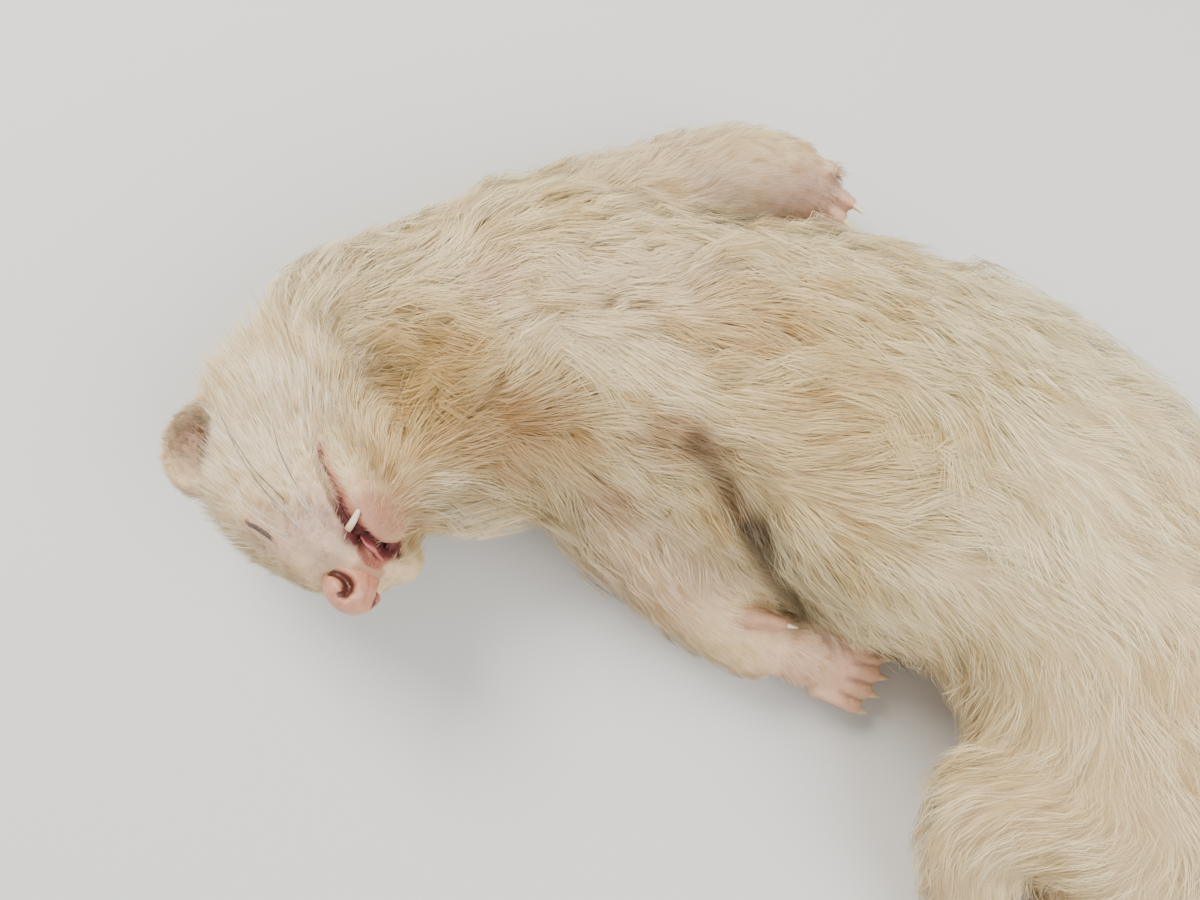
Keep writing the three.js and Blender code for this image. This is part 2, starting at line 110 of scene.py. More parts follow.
# The legs' middle lines from the body to the toes: left and right foreleg, left and right hind leg.
LIMBS = (
    [(-10, 47, 30), (8, 60, 27), (24, 71, 22), (38, 76.5, 19.5), (51, 76, 19), (66, 65, 17)],
    [(-4, 4, 36), (6, -11, 28), (17, -25, 20), (28, -37, 16), (40, -44.5, 15), (60, -54, 12)],
    [(136, -80, 31), (150, -78, 31), (160, -82, 27), (164, -95, 19), (166, -111, 9.5), (175, -140, 8)],
    [(106, -80, 31), (93, -79, 31), (84, -84, 27), (82, -97, 19), (83, -113, 9.5), (77, -140, 8)],
)
# The place of the wrist or heel in each of them.
WRIST = 4

# The flesh, which one skin replaces.
FLESH = ("head", "jaw", "eye_", "ear_", "neck", "chest", "belly", "hips", "arm_", "forearm_")
FLESH += ("thigh_", "shank_", "paw_", "foot_", "tail_")
FLESH_NODES = sorted(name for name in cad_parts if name.startswith(FLESH))

# The coat's groups. A right one is the next number after its left one.
FACE, EAR_LEFT, EAR_RIGHT, TRUNK, TAIL = range(5)
ARM_LEFT, ARM_RIGHT, LEG_LEFT, LEG_RIGHT = range(5, 9)
HAND_LEFT, HAND_RIGHT, FOOT_LEFT, FOOT_RIGHT = range(9, 13)
EARS = (EAR_LEFT, EAR_RIGHT)
LEGS = (ARM_LEFT, ARM_RIGHT, LEG_LEFT, LEG_RIGHT)
HANDS = (HAND_LEFT, HAND_RIGHT)
FEET = (FOOT_LEFT, FOOT_RIGHT)
# The left group of each kind of node that has two sides.
LEFT_GROUPS = {"ear": EAR_LEFT, "arm": ARM_LEFT, "forearm": ARM_LEFT, "thigh": LEG_LEFT, "shank": LEG_LEFT}
LEFT_GROUPS.update({"paw": HAND_LEFT, "foot": FOOT_LEFT})
# Each group's own middle line.
LINES = {TRUNK: SPINE[:15], TAIL: SPINE[13:]}
for limb, route in enumerate(LIMBS):
    LINES[ARM_LEFT + limb] = route[: WRIST + 1]
    LINES[HAND_LEFT + limb] = route[WRIST:]


def group_of(node):
    """The coat's group that a node of the solids belongs to."""
    for start, left_group in LEFT_GROUPS.items():
        if node.startswith(start):
            return left_group if node.endswith("left") else left_group + 1
    if node.startswith("tail"):
        return TAIL
    return FACE if node in ("head", "jaw") or node.startswith("eye") else TRUNK


# Lines of the face in the head's frame, for its left side.
EYE_LINE = np.array([(58.6, 15.6, 12.2), (54.2, 18.0, 13.8), (49.4, 19.6, 16.6)])
MOUTH_LINE = np.array([(41, 14.2, -6), (45.5, 13, -3.7), (50, 11.5, -2.6), (55, 9, -1.6), (59.6, 6.5, -1)])
EAR_AT = np.array((20.5, 21.5, 19.5))
# The ear's ways up and along its cup, and the way that it opens.
EAR_RISE = unit((-0.53, 0.6, 0.6))
EAR_WAY = unit(np.array((0.75, -0.2, 0.6)) - np.dot((0.75, -0.2, 0.6), EAR_RISE) * EAR_RISE)
EAR_OPEN = np.cross(EAR_RISE, EAR_WAY)


def srgb(red, green, blue):
    """A colour given in 0 to 255 as the eye reads it, as linear light with full alpha."""
    values = np.array((red, green, blue)) / 255
    linear = np.where(values <= 0.04045, values / 12.92, ((values + 0.055) / 1.055) ** 2.4)
    return (*linear.tolist(), 1.0)


def wobble(points, size, seed, waves=7):
    """Smooth random values from about -1 to 1 over points of the plan. The size is a wave's length."""
    rng = np.random.default_rng(seed)
    ways = unit(rng.normal(size=(waves, 3))) * (2 * math.pi / size) * rng.uniform(0.6, 1.5, (waves, 1))
    return np.sin(points @ ways.T + rng.uniform(0, 2 * math.pi, waves)).sum(1) / math.sqrt(waves)


def along_line(points, line):
    """For each point the nearest place on a chain: how far it is, the length up to it, the chain's way."""
    line = np.asarray(line, float)
    best = np.full(len(points), 1e9)
    reach = np.zeros(len(points))
    way = np.zeros((len(points), 3))
    done = 0.0
    for a, b in zip(line[:-1], line[1:]):
        step = b - a
        length = np.linalg.norm(step)
        share = np.clip((points - a) @ step / length**2, 0, 1)
        away = np.linalg.norm(points - a - share[:, None] * step, axis=1)
        near = away < best
        best = np.where(near, away, best)
        reach = np.where(near, done + share * length, reach)
        way[near] = step / length
        done += length
    return best, reach, way


def ramp(values, low, high):
    """A smooth step from 0 at the low value to 1 at the high one."""
    share = np.clip((values - low) / (high - low), 0, 1)
    return share * share * (3 - 2 * share)


def left_half(head):
    """Points of the head's frame, with those of its right side mirrored to the left."""
    return np.column_stack((head[:, 0], np.abs(head[:, 1]), head[:, 2]))


def egg_reach(points, middle, half):
    """How far out points lie in an egg's own measure, which is 1 on its surface."""
    return np.linalg.norm((points - middle) / half, axis=1)


class Net:
    """A mesh's points and edges as arrays, for moving and smoothing them."""

    def __init__(self, mesh):
        self.mesh = mesh
        self.count = len(mesh.vertices)
        ends = np.empty(len(mesh.edges) * 2, np.int32)
        mesh.edges.foreach_get("vertices", ends)
        self.a, self.b = ends[::2], ends[1::2]
        self.links = np.bincount(self.a, minlength=self.count) + np.bincount(self.b, minlength=self.count)
        self.links = np.maximum(self.links, 1)

    def points(self):
        places = np.empty(self.count * 3)
        self.mesh.vertices.foreach_get("co", places)
        return planned(places.reshape(-1, 3))

    def move_to(self, points):
        self.mesh.vertices.foreach_set("co", placed(points).ravel())
        self.mesh.update()

    def normals(self):
        values = np.empty(self.count * 3)
        self.mesh.vertex_normals.foreach_get("vector", values)
        return values.reshape(-1, 3)

    def eased(self, values, rounds, weight=1.0):
        """Values at the points, each drawn towards the mean of its neighbours."""
        values = np.array(values, float)
        flat = values.ndim == 1
        values = values.reshape(self.count, -1)
        weight = np.broadcast_to(weight, self.count)[:, None]
        for _ in range(rounds):
            mean = np.empty_like(values)
            for k in range(values.shape[1]):
                column = values[:, k]
                total = np.bincount(self.a, column[self.b], self.count)
                total += np.bincount(self.b, column[self.a], self.count)
                mean[:, k] = total / self.links
            values += weight * (mean - values)
        return values[:, 0] if flat else values


def write_attribute(mesh, name, values):
    """Values at a mesh's points, kept under a name."""
    values = np.asarray(values, np.float32)
    kind, key = ("FLOAT_VECTOR", "vector") if values.ndim == 2 else ("FLOAT", "value")
    mesh.attributes.new(name, kind, "POINT").data.foreach_set(key, values.ravel())


def read_attribute(mesh, name):
    """The values kept under a name, as an array."""
    layer = mesh.attributes[name]
    width, key = (3, "vector") if layer.data_type == "FLOAT_VECTOR" else (1, "value")
    values = np.empty(len(mesh.vertices) * width, np.float32)
    layer.data.foreach_get(key, values)
    return values.reshape(-1, 3) if width == 3 else values


def new_object(name, mesh, material=None):
    """An object of the scene with its mesh."""
    made = bpy.data.objects.new(name, mesh)
    bpy.context.scene.collection.objects.link(made)
    if material:
        mesh.materials.append(material)
    return made


def mesh_from(name, points, faces):
    """A smooth mesh of points in the plan and faces of one size."""
    faces = np.asarray(faces, np.int32)
    mesh = bpy.data.meshes.new(name)
    mesh.vertices.add(len(points))
    mesh.vertices.foreach_set("co", placed(points).ravel())
    mesh.loops.add(faces.size)
    mesh.loops.foreach_set("vertex_index", faces.ravel())
    mesh.polygons.add(len(faces))
    mesh.polygons.foreach_set("loop_start", np.arange(0, faces.size, faces.shape[1], dtype=np.int32))
    mesh.update(calc_edges=True)
    mesh.polygons.foreach_set("use_smooth", np.ones(len(faces), bool))
    return mesh


def with_modifiers(made):
    """Puts a new object's modifiers into its mesh."""
    graph = bpy.context.evaluated_depsgraph_get()
    graph.update()
    mesh = bpy.data.meshes.new_from_object(made.evaluated_get(graph))
    made.modifiers.clear()
    made.data = mesh
    return mesh


def clean_node(name, grow=0.0):
    """A node's corners and faces with split corners joined, each moved out by a length in metres."""
    shape = bmesh.new()
    shape.from_mesh(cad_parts[name].data)
    bmesh.ops.remove_doubles(shape, verts=shape.verts, dist=1e-6)
    bmesh.ops.recalc_face_normals(shape, faces=shape.faces)
    shape.normal_update()
    corners = [tuple(v.co + v.normal * grow) for v in shape.verts]
    faces = [[v.index for v in f.verts] for f in shape.faces]
    shape.free()
    return corners, faces


def smooth_curve(values, count):
    """A smooth curve of a given number of places through rows of values."""
    values = np.asarray(values, float)
    ends = np.vstack((2 * values[0] - values[1], values, 2 * values[-1] - values[-2]))
    at = np.linspace(0, len(values) - 1, count)
    k = np.minimum(at.astype(int), len(values) - 2)
    t = (at - k)[:, None]
    a, b, c, d = ends[k], ends[k + 1], ends[k + 2], ends[k + 3]
    return b + 0.5 * t * (c - a + t * (2 * a - 5 * b + 4 * c - d + t * (3 * (b - c) + d - a)))


def tube(route, up, sides=12, count=12, ends=(15, 40, 65)):
    """A closed tube with round ends, as corners and triangles. The route's rows are x, y, z, half width and
    half depth, and the depth is measured towards `up`."""
    rows = smooth_curve(route, count)
    places, half = rows[:, :3], rows[:, 3:5]
    way = unit(np.gradient(places, axis=0))
    over = unit(np.asarray(up, float) - (way @ np.asarray(up, float))[:, None] * way)
    across = np.cross(way, over)
    rings = []
    turns = np.radians(ends)
    for turn in turns:
        rings.append((places[0] - way[0] * half[0].min() * math.cos(turn), 0, math.sin(turn)))
    rings += [(place, k, 1.0) for k, place in enumerate(places)]
    for turn in turns[::-1]:
        rings.append((places[-1] + way[-1] * half[-1].min() * math.cos(turn), -1, math.sin(turn)))
    round_ = np.linspace(0, 2 * math.pi, sides, endpoint=False)[:, None]
    corners = []
    for middle, k, share in rings:
        out = np.cos(round_) * across[k] * half[k, 0] + np.sin(round_) * over[k] * half[k, 1]
        corners.append(middle + share * out)
    first = rings[0][0] - way[0] * half[0].min() * (1 - math.cos(turns[0]))
    last = rings[-1][0] + way[-1] * half[-1].min() * (1 - math.cos(turns[0]))
    corners = np.vstack(corners + [first[None], last[None]])
    total = len(rings) * sides
    faces = []
    for k in range(len(rings) - 1):
        for i in range(sides):
            p, q = k * sides + i, k * sides + (i + 1) % sides
            faces += [(q, p, q + sides), (p, p + sides, q + sides)]
    for i in range(sides):
        j = (i + 1) % sides
        faces += [(total, i, j), (total + 1, total - sides + j, total - sides + i)]
    return corners, faces


def egg(middle, axes, sizes, sides=16, rings=10):
    """An egg-shaped form, as corners and triangles. The axes are three square directions."""
    axes = np.asarray(axes, float)
    turn = np.linspace(0, math.pi, rings + 1)[1:-1]
    route = np.array([(-math.cos(t), math.sin(t)) for t in turn])
    round_ = np.linspace(0, 2 * math.pi, sides, endpoint=False)
    unit_points = [(-1, 0, 0)]
    unit_points += [(x, r * math.cos(a), r * math.sin(a)) for x, r in route for a in round_]
    unit_points += [(1, 0, 0)]
    corners = np.asarray(middle, float) + (np.array(unit_points) * sizes) @ axes
    last_ring = 1 + (rings - 2) * sides
    faces = []
    for i in range(sides):
        j = (i + 1) % sides
        faces += [(0, 1 + j, 1 + i), (last_ring + sides, last_ring + i, last_ring + j)]
        for k in range(rings - 2):
            p, q = 1 + k * sides + i, 1 + k * sides + j
            faces += [(p, q, q + sides), (p, q + sides, p + sides)]
    if np.linalg.det(axes) < 0:
        faces = [face[::-1] for face in faces]
    return corners, faces


def joined(forms):
    """Several forms as one list of corners and one of triangles."""
    corners, faces, start = [], [], 0
    for own_corners, own_faces in forms:
        corners.append(own_corners)
        faces.append(np.asarray(own_faces) + start)
        start += len(own_corners)
    return np.vstack(corners), np.vstack(faces)


# The paws: the wrist, the way along, the palm's side, the thumb's side, the sole's length, the half width.
PAWS = {
    "paw_left": ((51, 76, 19), (0.8, -0.58, -0.1), (-0.45, -0.5, 0.75), -1, 10, 8),
    "paw_right": ((40.4, -43.6, 15), (0.935, -0.35, -0.06), (0.1, 0.25, -0.92), 1, 20.8, 7.9),
    "foot_right": ((83, -113, 9.5), (-0.28, -0.95, -0.08), (0.5, -0.1, 0.85), -1, 22, 7.6),
    "foot_left": ((166, -111, 9.5), (0.35, -0.93, -0.08), (-0.5, -0.1, 0.85), 1, 22, 7.6),
}
# The right thumb lies over the wrist: its root, its middle and its tip.
THUMB = ((33.0, -40.0, 24.6), (38.0, -40.4, 26.0), (42.0, -41.4, 25.0))
TOE_LENGTH = 8.2
# The thumb's share of a toe's length.
THUMB_SHARE = 0.62
TOE_SPREAD = 0.17
# The half width and half depth of a toe at its start, knee, middle and tip.
TOE_SIZES = ((2.15, 2.8), (2.1, 2.7), (1.9, 2.4), (2.0, 2.2))
# The hand's rows: the share of the sole's length, the share of its half width, and that of its depth.
HAND_ROWS = ((-0.4, 1.14, 1.3), (0.1, 1.02, 1.16), (0.6, 0.95, 0.96), (0.98, 0.86, 0.62))
HAND_DEPTH = 0.72
TOE_PAD = (2.0, 1.6, 1.5)
SOLE_PAD = (3.3, 2.6, 2.2)
Paw = namedtuple("Paw", "at along palm across wide sole knuckles toes")
Toe = namedtuple("Toe", "root middle tip bend")


def paw_plan(name):
    """A paw's directions, its knuckles, and the route of each toe, which fans out and curls to the sole."""
    at, along, palm, thumb_side, sole, wide = PAWS[name]
    at = np.asarray(at, float)
    along = unit(along)
    palm = unit(np.asarray(palm) - np.dot(palm, along) * along)
    across = np.cross(along, palm)
    knuckles = at + along * sole
    toes = []
    for i in range(5):
        place = thumb_side * (0.5 - i / 4)
        share = THUMB_SHARE if i == 0 else 1.0
        way = unit(along + across * 2 * place * TOE_SPREAD)
        back = -0.55 * sole if i == 0 else -6 * place * place
        root = knuckles + along * (back - 2) + across * 2 * place * (wide - 0.3)
        middle = root + way * TOE_LENGTH * share * 0.6 + palm * 0.1 * TOE_LENGTH
        bend = unit(way + palm * 0.6)
        tip = middle + bend * TOE_LENGTH * share * 0.55
        if i == 0 and name == "paw_right":
            root, middle, tip = np.array(THUMB)
            bend = unit(tip - middle)
        toes.append(Toe(root, middle, tip, bend))
    return Paw(at, along, palm, across, wide, sole, knuckles, toes)


def thumb_share(points):
    """How near each point is to the thumb over the wrist, from 0 to 1."""
    return 1 - ramp(along_line(points, np.array(THUMB))[0], 2.4, 3.8)


def paw_form(name):
    """A paw with five toes and its pads, as the skin's starting shape."""
    paw = paw_plan(name)
    depth = paw.wide * HAND_DEPTH
    hand = []
    for share, broad, high in HAND_ROWS:
        hand.append((*(paw.at + paw.along * share * paw.sole), paw.wide * broad, depth * high))
    forms = [tube(hand, paw.palm, 20, 10, (20, 45, 70))]
    for i, toe in enumerate(paw.toes):
        start = toe.root - paw.along * (1.5 if i == 0 else 3.0)
        knee = 0.5 * (toe.root + toe.middle) - paw.palm * 0.35
        rows = [(*place, *size) for place, size in zip((start, knee, toe.middle, toe.tip), TOE_SIZES)]
        forms.append(tube(rows, paw.palm, 14, 12))
        axes = (toe.bend, np.cross(paw.palm, toe.bend), paw.palm)
        forms.append(egg(toe.tip + paw.palm * 0.75 - toe.bend * 0.4, axes, TOE_PAD))
    for side in (-0.52, 0.0, 0.52):
        back = paw.along * (3.4 + 2.2 * abs(side))
        spot = paw.knuckles + paw.across * side * paw.wide + paw.palm * depth * 0.42 - back
        forms.append(egg(spot, (paw.along, paw.across, paw.palm), SOLE_PAD))
    return joined(forms)


class Tree:
    """Short calls that add nodes to a node tree."""

    def __init__(self, tree):
        self.tree = tree

    def add(self, kind, **settings):
        node = self.tree.nodes.new("ShaderNode" + kind)
        for key, value in settings.items():
            setattr(node, key, value)
        return node

    def link(self, source, target):
        self.tree.links.new(source, target)

    def feed(self, socket, value):
        if hasattr(value, "is_output"):
            self.link(value, socket)
        else:
            socket.default_value = value

    def math(self, operation, *values):
        node = self.add("Math", operation=operation)
        for socket, value in zip(node.inputs, values):
            self.feed(socket, value)
        return node.outputs[0]

    def vector(self, operation, *values):
        node = self.add("VectorMath", operation=operation)
        for socket, value in zip(node.inputs, values):
            self.feed(socket, value)
        return node.outputs["Value" if operation in ("LENGTH", "DISTANCE", "DOT_PRODUCT") else "Vector"]

    def step(self, value, low, high, start=0.0, end=1.0):
        node = self.add("MapRange", interpolation_type="SMOOTHSTEP")
        for socket, given in zip(node.inputs, (value, low, high, start, end)):
            self.feed(socket, given)
        return node.outputs[0]

    def mix(self, share, first, second, blend="MIX"):
        node = self.add("Mix", data_type="RGBA", blend_type=blend)
        self.feed(node.inputs["Factor"], share)
        self.feed(node.inputs[6], first)
        self.feed(node.inputs[7], second)
        return node.outputs[2]

    def noise(self, place, scale, detail=2.0):
        node = self.add("TexNoise")
        self.link(place, node.inputs["Vector"])
        for key, value in (("Scale", scale), ("Detail", detail), ("Roughness", 0.55)):
            node.inputs[key].default_value = value
        return node.outputs[0]

    def attribute(self, name):
        return self.add("Attribute", attribute_name=name).outputs["Fac"]

    def place(self):
        return self.add("TexCoord").outputs["Object"]

    def use(self, group, **values):
        """The colour of a node group, with its inputs given by name."""
        node = self.tree.nodes.new("ShaderNodeGroup")
        node.node_tree = group
        for key, value in values.items():
            self.feed(node.inputs[key], value)
        return node.outputs["Color"]

    def speckled(self, grain, start, full, amount, ground, tint):
        """A ground colour, tinted by up to an amount where the grain is high."""
        steps = {"Grain": grain, "Start": start, "Full": full, "Amount": amount}
        return self.use(speckle_group(), **steps, Ground=ground, Tint=tint)


class Finish(Tree):
    """A material and its node tree. What only the light changes stays on the shader's own sockets."""

    def __init__(self, name, rough, color=(0.8, 0.8, 0.8, 1), **sockets):
        self.material = bpy.data.materials.new(name)
        self.material.use_nodes = True
        super().__init__(self.material.node_tree)
        self.shader = next(n for n in self.tree.nodes if n.type == "BSDF_PRINCIPLED")
        self.shader.inputs["Base Color"].default_value = color
        self.shader.inputs["Roughness"].default_value = rough
        for key, value in sockets.items():
            self.shader.inputs[key.replace("_", " ")].default_value = value

    def relief(self, height, strength, distance):
        """Small relief of the surface."""
        bump = self.add("Bump")
        bump.inputs["Strength"].default_value = strength
        bump.inputs["Distance"].default_value = distance
        self.link(height, bump.inputs["Height"])
        self.link(bump.outputs["Normal"], self.shader.inputs["Normal"])

    def coloured(self, colour):
        """The material, with its colour from a socket."""
        self.link(colour, self.shader.inputs["Base Color"])
        return self.material


def new_group(name, **inputs):
    """A new node group that puts out a colour, with its tree and its inputs, given by name and kind."""
    group = bpy.data.node_groups.new(name, "ShaderNodeTree")
    for key, kind in inputs.items():
        group.interface.new_socket(key, in_out="INPUT", socket_type="NodeSocket" + kind)
    group.interface.new_socket("Color", in_out="OUTPUT", socket_type="NodeSocketColor")
    return group, Tree(group), group.nodes.new("NodeGroupInput").outputs


def speckle_group():
    """The node group that tints a ground colour where a grain is high, built once for every material."""
    name = "ferret speckles"
    if name in bpy.data.node_groups:
        return bpy.data.node_groups[name]
    kinds = dict(Grain="Float", Start="Float", Full="Float", Amount="Float", Ground="Color", Tint="Color")
    group, tree, given = new_group(name, **kinds)
    share = tree.step(given["Grain"], given["Start"], given["Full"], 0.0, given["Amount"])
    tinted = tree.mix(share, given["Ground"], given["Tint"])
    tree.link(tinted, group.nodes.new("NodeGroupOutput").inputs["Color"])
    return group


def face_place(x, y, z):
    """A place of the head's frame in the plan, as plain numbers."""
    return tuple(from_head((x, y, z)).tolist())


# The coat's colours: a ground colour with soft patches, some of which are painted light and shade, as
# marked. Each has its name, its middle in the plan, its half axes in millimetres, its colour and its
# strength. Later ones lie over earlier ones.
CREAM = srgb(248, 226, 176)
PATCHES = (
    ("throat", (-38, 8, 52), (25, 24, 22), srgb(212, 174, 102), 0.8),
    ("throat side", (-14, -4, 52), (24, 17, 24), srgb(194, 156, 102), 0.8),
    ("beside the chin", (-33, -17, 42), (12, 10, 12), srgb(244, 228, 194), 0.75),
    ("throat whorl", (-15, -3, 57), (7, 7, 9), srgb(196, 156, 112), 0.5),
    ("chest whorl", (-22, 28, 62), (8, 7, 9), srgb(216, 174, 140), 0.5),
    ("nape", (-58, 32, 40), (30, 26, 30), srgb(250, 234, 194), 0.5),
    ("head", (-74, -4, 40), (26, 32, 34), srgb(252, 238, 204), 0.9),
    ("whisker pad", (-58, -25, 55), (13, 12, 13), srgb(200, 170, 164), 0.85),
    ("breast", (6, 24, 62), (30, 17, 20), srgb(238, 214, 172), 0.7),
    # Painted shade in the right armpit, over fur of a darker tan.
    ("right armpit", (16, -7, 60), (12, 8, 11), srgb(172, 132, 94), 0.65),
    ("belly", (62, -2, 56), (44, 34, 26), srgb(222, 186, 122), 0.75),
    ("belly middle", (30, 18, 66), (13, 13, 10), srgb(208, 166, 112), 0.6),
    # The flank's pale fur, made lighter still as painted light from the side.
    ("flank", (100, 0, 50), (54, 60, 34), srgb(255, 242, 194), 0.85),
    ("left foreleg", (22, 68, 24), (40, 16, 22), srgb(228, 202, 174), 0.8),
    ("left paw", (57, 68, 22), (17, 14, 16), srgb(216, 178, 164), 0.8),
    ("right foreleg", (14, -28, 26), (24, 22, 20), srgb(240, 208, 172), 0.8),
    ("right elbow", (4, -14, 40), (13, 11, 13), srgb(192, 146, 114), 0.8),
    ("right paw", (50, -50, 14), (19, 14, 14), srgb(250, 202, 196), 0.85),
    ("back", (80, -30, 14), (110, 90, 14), srgb(238, 206, 148), 0.5),
    ("tail end", (62, -190, 10), (36, 24, 18), srgb(222, 182, 118), 0.7),
    # Painted shade round the shut eyes and under the brows.
    ("left eye", face_place(54.2, 18, 14), (9, 8, 9), srgb(180, 150, 132), 0.65),
    ("right eye", face_place(54.2, -18, 14), (9, 8, 9), srgb(180, 150, 132), 0.65),
    ("left brow", face_place(63.5, 11, 15.5), (4, 4, 4), srgb(188, 150, 112), 0.6),
    ("right brow", face_place(63.5, -11, 15.5), (4, 4, 4), srgb(188, 150, 112), 0.6),
    # The ears' brownish pink cups, darkened further as painted shade inside them.
    ("left ear", face_place(18.8, 25.5, 20.3), (9, 9.5, 10), srgb(82, 44, 34), 0.95),
    ("right ear", face_place(18.8, -25.5, 20.3), (9, 9.5, 10), srgb(82, 44, 34), 0.95),
)
# Painted shade in the crevices where two parts of the body meet: the start, the end, and then as above.
CREVICE_SHADE = (
    ("foreleg and flank, top", (20, -8, 60), (31, -22, 51), (4.4, 4.0, 8), srgb(116, 88, 60), 0.8),
    ("foreleg and flank, end", (33, -25, 48), (46, -40, 25), (5.2, 5.0, 8), srgb(82, 62, 44), 0.85),
    ("other foreleg and chest", (8, 50.5, 54), (38, 48, 51), (7, 7, 6.5), srgb(128, 104, 74), 0.75),
)


def markings_light_and_shade_group():
    """The node group that gives the coat's colour at a place, with its painted light and shade, built once
    for the skin and the coat.
    """
    name = "ferret markings, light and shade"
    if name in bpy.data.node_groups:
        return bpy.data.node_groups[name]
    group, tree, given = new_group(name, Place="Vector")
    source = given["Place"]
    drift = tree.math("MULTIPLY", tree.noise(source, 70.0), 0.5)

    def laid_over(colour, away, half, fade, label, tint, strength):
        """A colour with a soft patch over it. The patch fades out between two of its half axes' shares."""
        away = tree.vector("MULTIPLY", away, Vector([1 / MM / h for h in half]))
        reach = tree.math("ADD", tree.vector("LENGTH", away), drift)
        mixed = tree.mix(tree.step(reach, *fade, strength, 0.0), colour, tint)
        mixed.node.label = label
        return mixed

    colour = CREAM
    for label, middle, half, tint, strength in PATCHES:
        away = tree.vector("SUBTRACT", source, Vector(placed(middle)))
        colour = laid_over(colour, away, half, (0.55, 1.5), label, tint, strength)
    # The crevices' painted shade lies over the patches.
    for label, start, end, half, tint, strength in CREVICE_SHADE:
        whole = Vector(placed(end)) - Vector(placed(start))
        away = tree.vector("SUBTRACT", source, Vector(placed(start)))
        along = tree.vector("DOT_PRODUCT", away, whole / whole.length_squared)
        along = tree.math("MINIMUM", tree.math("MAXIMUM", along, 0.0), 1.0)
        nearest = tree.add("VectorMath", operation="SCALE")
        nearest.inputs[0].default_value = whole
        tree.link(along, nearest.inputs["Scale"])
        away = tree.vector("SUBTRACT", away, nearest.outputs[0])
        colour = laid_over(colour, away, half, (0.5, 1.4), label, tint, strength)
    tree.link(colour, group.nodes.new("NodeGroupOutput").inputs["Color"])
    return group


# The coat's length in millimetres. On the face it goes by the way forward, on the legs by the way along, and
# on the paws by the share of their length: the places first, then the lengths there.
COAT_LENGTH = {TRUNK: 14.0, TAIL: 15.0, EAR_LEFT: 2.0, EAR_RIGHT: 2.0}
FACE_LENGTH = ((-10, 0, 12, 24, 34, 44, 52, 60, 66, 72), (11, 9.5, 8, 6.5, 5, 3.6, 2.6, 1.9, 1.3, 1.0))
LEG_LENGTH = ((0, 25, 50, 70), (13, 11, 7, 3.5))
PAW_LENGTH = ((0, 0.45, 0.7, 1), (4.5, 2.8, 1.3, 0.6))
# The coat's depth over the skin: its share of the length, the least one, and those of the paws and ears.
DEPTH_SHARE = 0.24
LEAST_DEPTH = 0.35
PAW_DEPTH = 0.3
EAR_DEPTH = 0.2
# Rounds of easing over the skin that blend the length and the lie from group to group.
LENGTH_ROUNDS = 14
LIE_ROUNDS = 22

# Where the fur parts and lies outwards: a place of the plan, its reach and its strength.
PARTINGS = (
    ((-21, 29, 62), 15, 1.1),
    ((-15, -2.5, 57), 13, 0.9),
    ((27, 14, 66), 9, 0.6),
    ((22, -14, 56), 10, 0.7),
    ((20, 42, 58), 9, 0.6),
)
# Where the fur stands fluffier: a place of the plan, its reach, and the added shares of length and lift.
FLUFF = (
    ((-36, -19, 37), 12, 0.6, 0.5),
    ((-76, 32, 36), 15, 0.25, 0.45),
    ((-20, 50, 40), 18, 0.15, 0.15),
    ((-8, -22, 26), 14, 0.3, 0.35),
)


def fur_fields(net, points, normals, groups):
    """The coat's length and lie at each of the skin's points, eased across the groups' borders."""
    length = np.zeros(len(points))
    lie = np.zeros((len(points), 3))
    head = to_head(points)
    for group in np.unique(groups):
        own = groups == group
        if group == FACE:
            length[own] = np.interp(head[own, 0], *FACE_LENGTH)
            back = np.array((-1.0, 0, 0)) + 0.35 * np.sign(head[own, 1])[:, None] * np.array((0, 1.0, 0))
            lie[own] = back @ HEAD_AXES
        elif group in EARS:
            length[own] = COAT_LENGTH[group]
            lie[own] = (EAR_RISE * (1, 1 if group == EAR_LEFT else -1, 1)) @ HEAD_AXES
        else:
            _, reach, lie[own] = along_line(points[own], LINES[group])
            if group in LEGS:
                length[own] = np.interp(reach, *LEG_LENGTH)
            elif group in HANDS + FEET:
                length[own] = np.interp(reach / reach.max(), *PAW_LENGTH)
            else:
                length[own] = COAT_LENGTH[group]
    # Fur on the flanks hangs a little, and the belly's parts to both sides.
    body = np.isin(groups, (TRUNK, TAIL))
    lie[body, 2] -= 0.45 * (1 - np.abs(normals[body, 2]))
    lie[np.isin(groups, LEGS), 2] -= 0.15
    for middle, reach, strength in PARTINGS:
        out = points - middle
        share = strength * np.exp(-((out**2).sum(1) / reach**2)) * (groups == TRUNK)
        lie += share[:, None] * (1.6 * out / reach - 0.5 * lie)
    # It is short round the ears, at the lids and on the thumb.
    spot = left_half(head)
    ears = 0.22 + 0.78 * ramp(np.linalg.norm(spot - (20, 24, 20), axis=1), 6, 14)
    length = np.where(groups == FACE, length * ears, length)
    lids = 0.3 + 0.7 * ramp(along_line(spot, EYE_LINE)[0], 1, 5)
    length = np.where(groups == FACE, length * lids, length)
    length = length * (1 - 0.8 * thumb_share(points))
    for middle, reach, longer, _ in FLUFF:
        length *= 1 + longer * np.exp(-(((points - middle) ** 2).sum(1) / reach**2))
    length = net.eased(length, LENGTH_ROUNDS)
    lie = net.eased(lie, LIE_ROUNDS)
    lie -= (lie * normals).sum(1)[:, None] * normals
    return length, unit(lie)


# Folds of the skin: a chain of places in the plan, how wide the fold is and how deep. The fur is thin in the
# first two, where the forelegs lie against the body.
FOLDS = (
    ([(21.7, -10, 60), (28.6, -18.4, 55.4), (34.4, -28.6, 44.4), (41.9, -35.5, 30.4)], 3.0, 3.2),
    ([(8, 52, 53), (20, 50.5, 52), (30, 49.5, 50.5), (42, 48, 49)], 3.0, 2.4),
    ([(-90.2, -3.0, 39.5), (-89.8, 1.0, 38.5)], 4.0, 1.8),
)
BODY_FOLDS = FOLDS[:2]
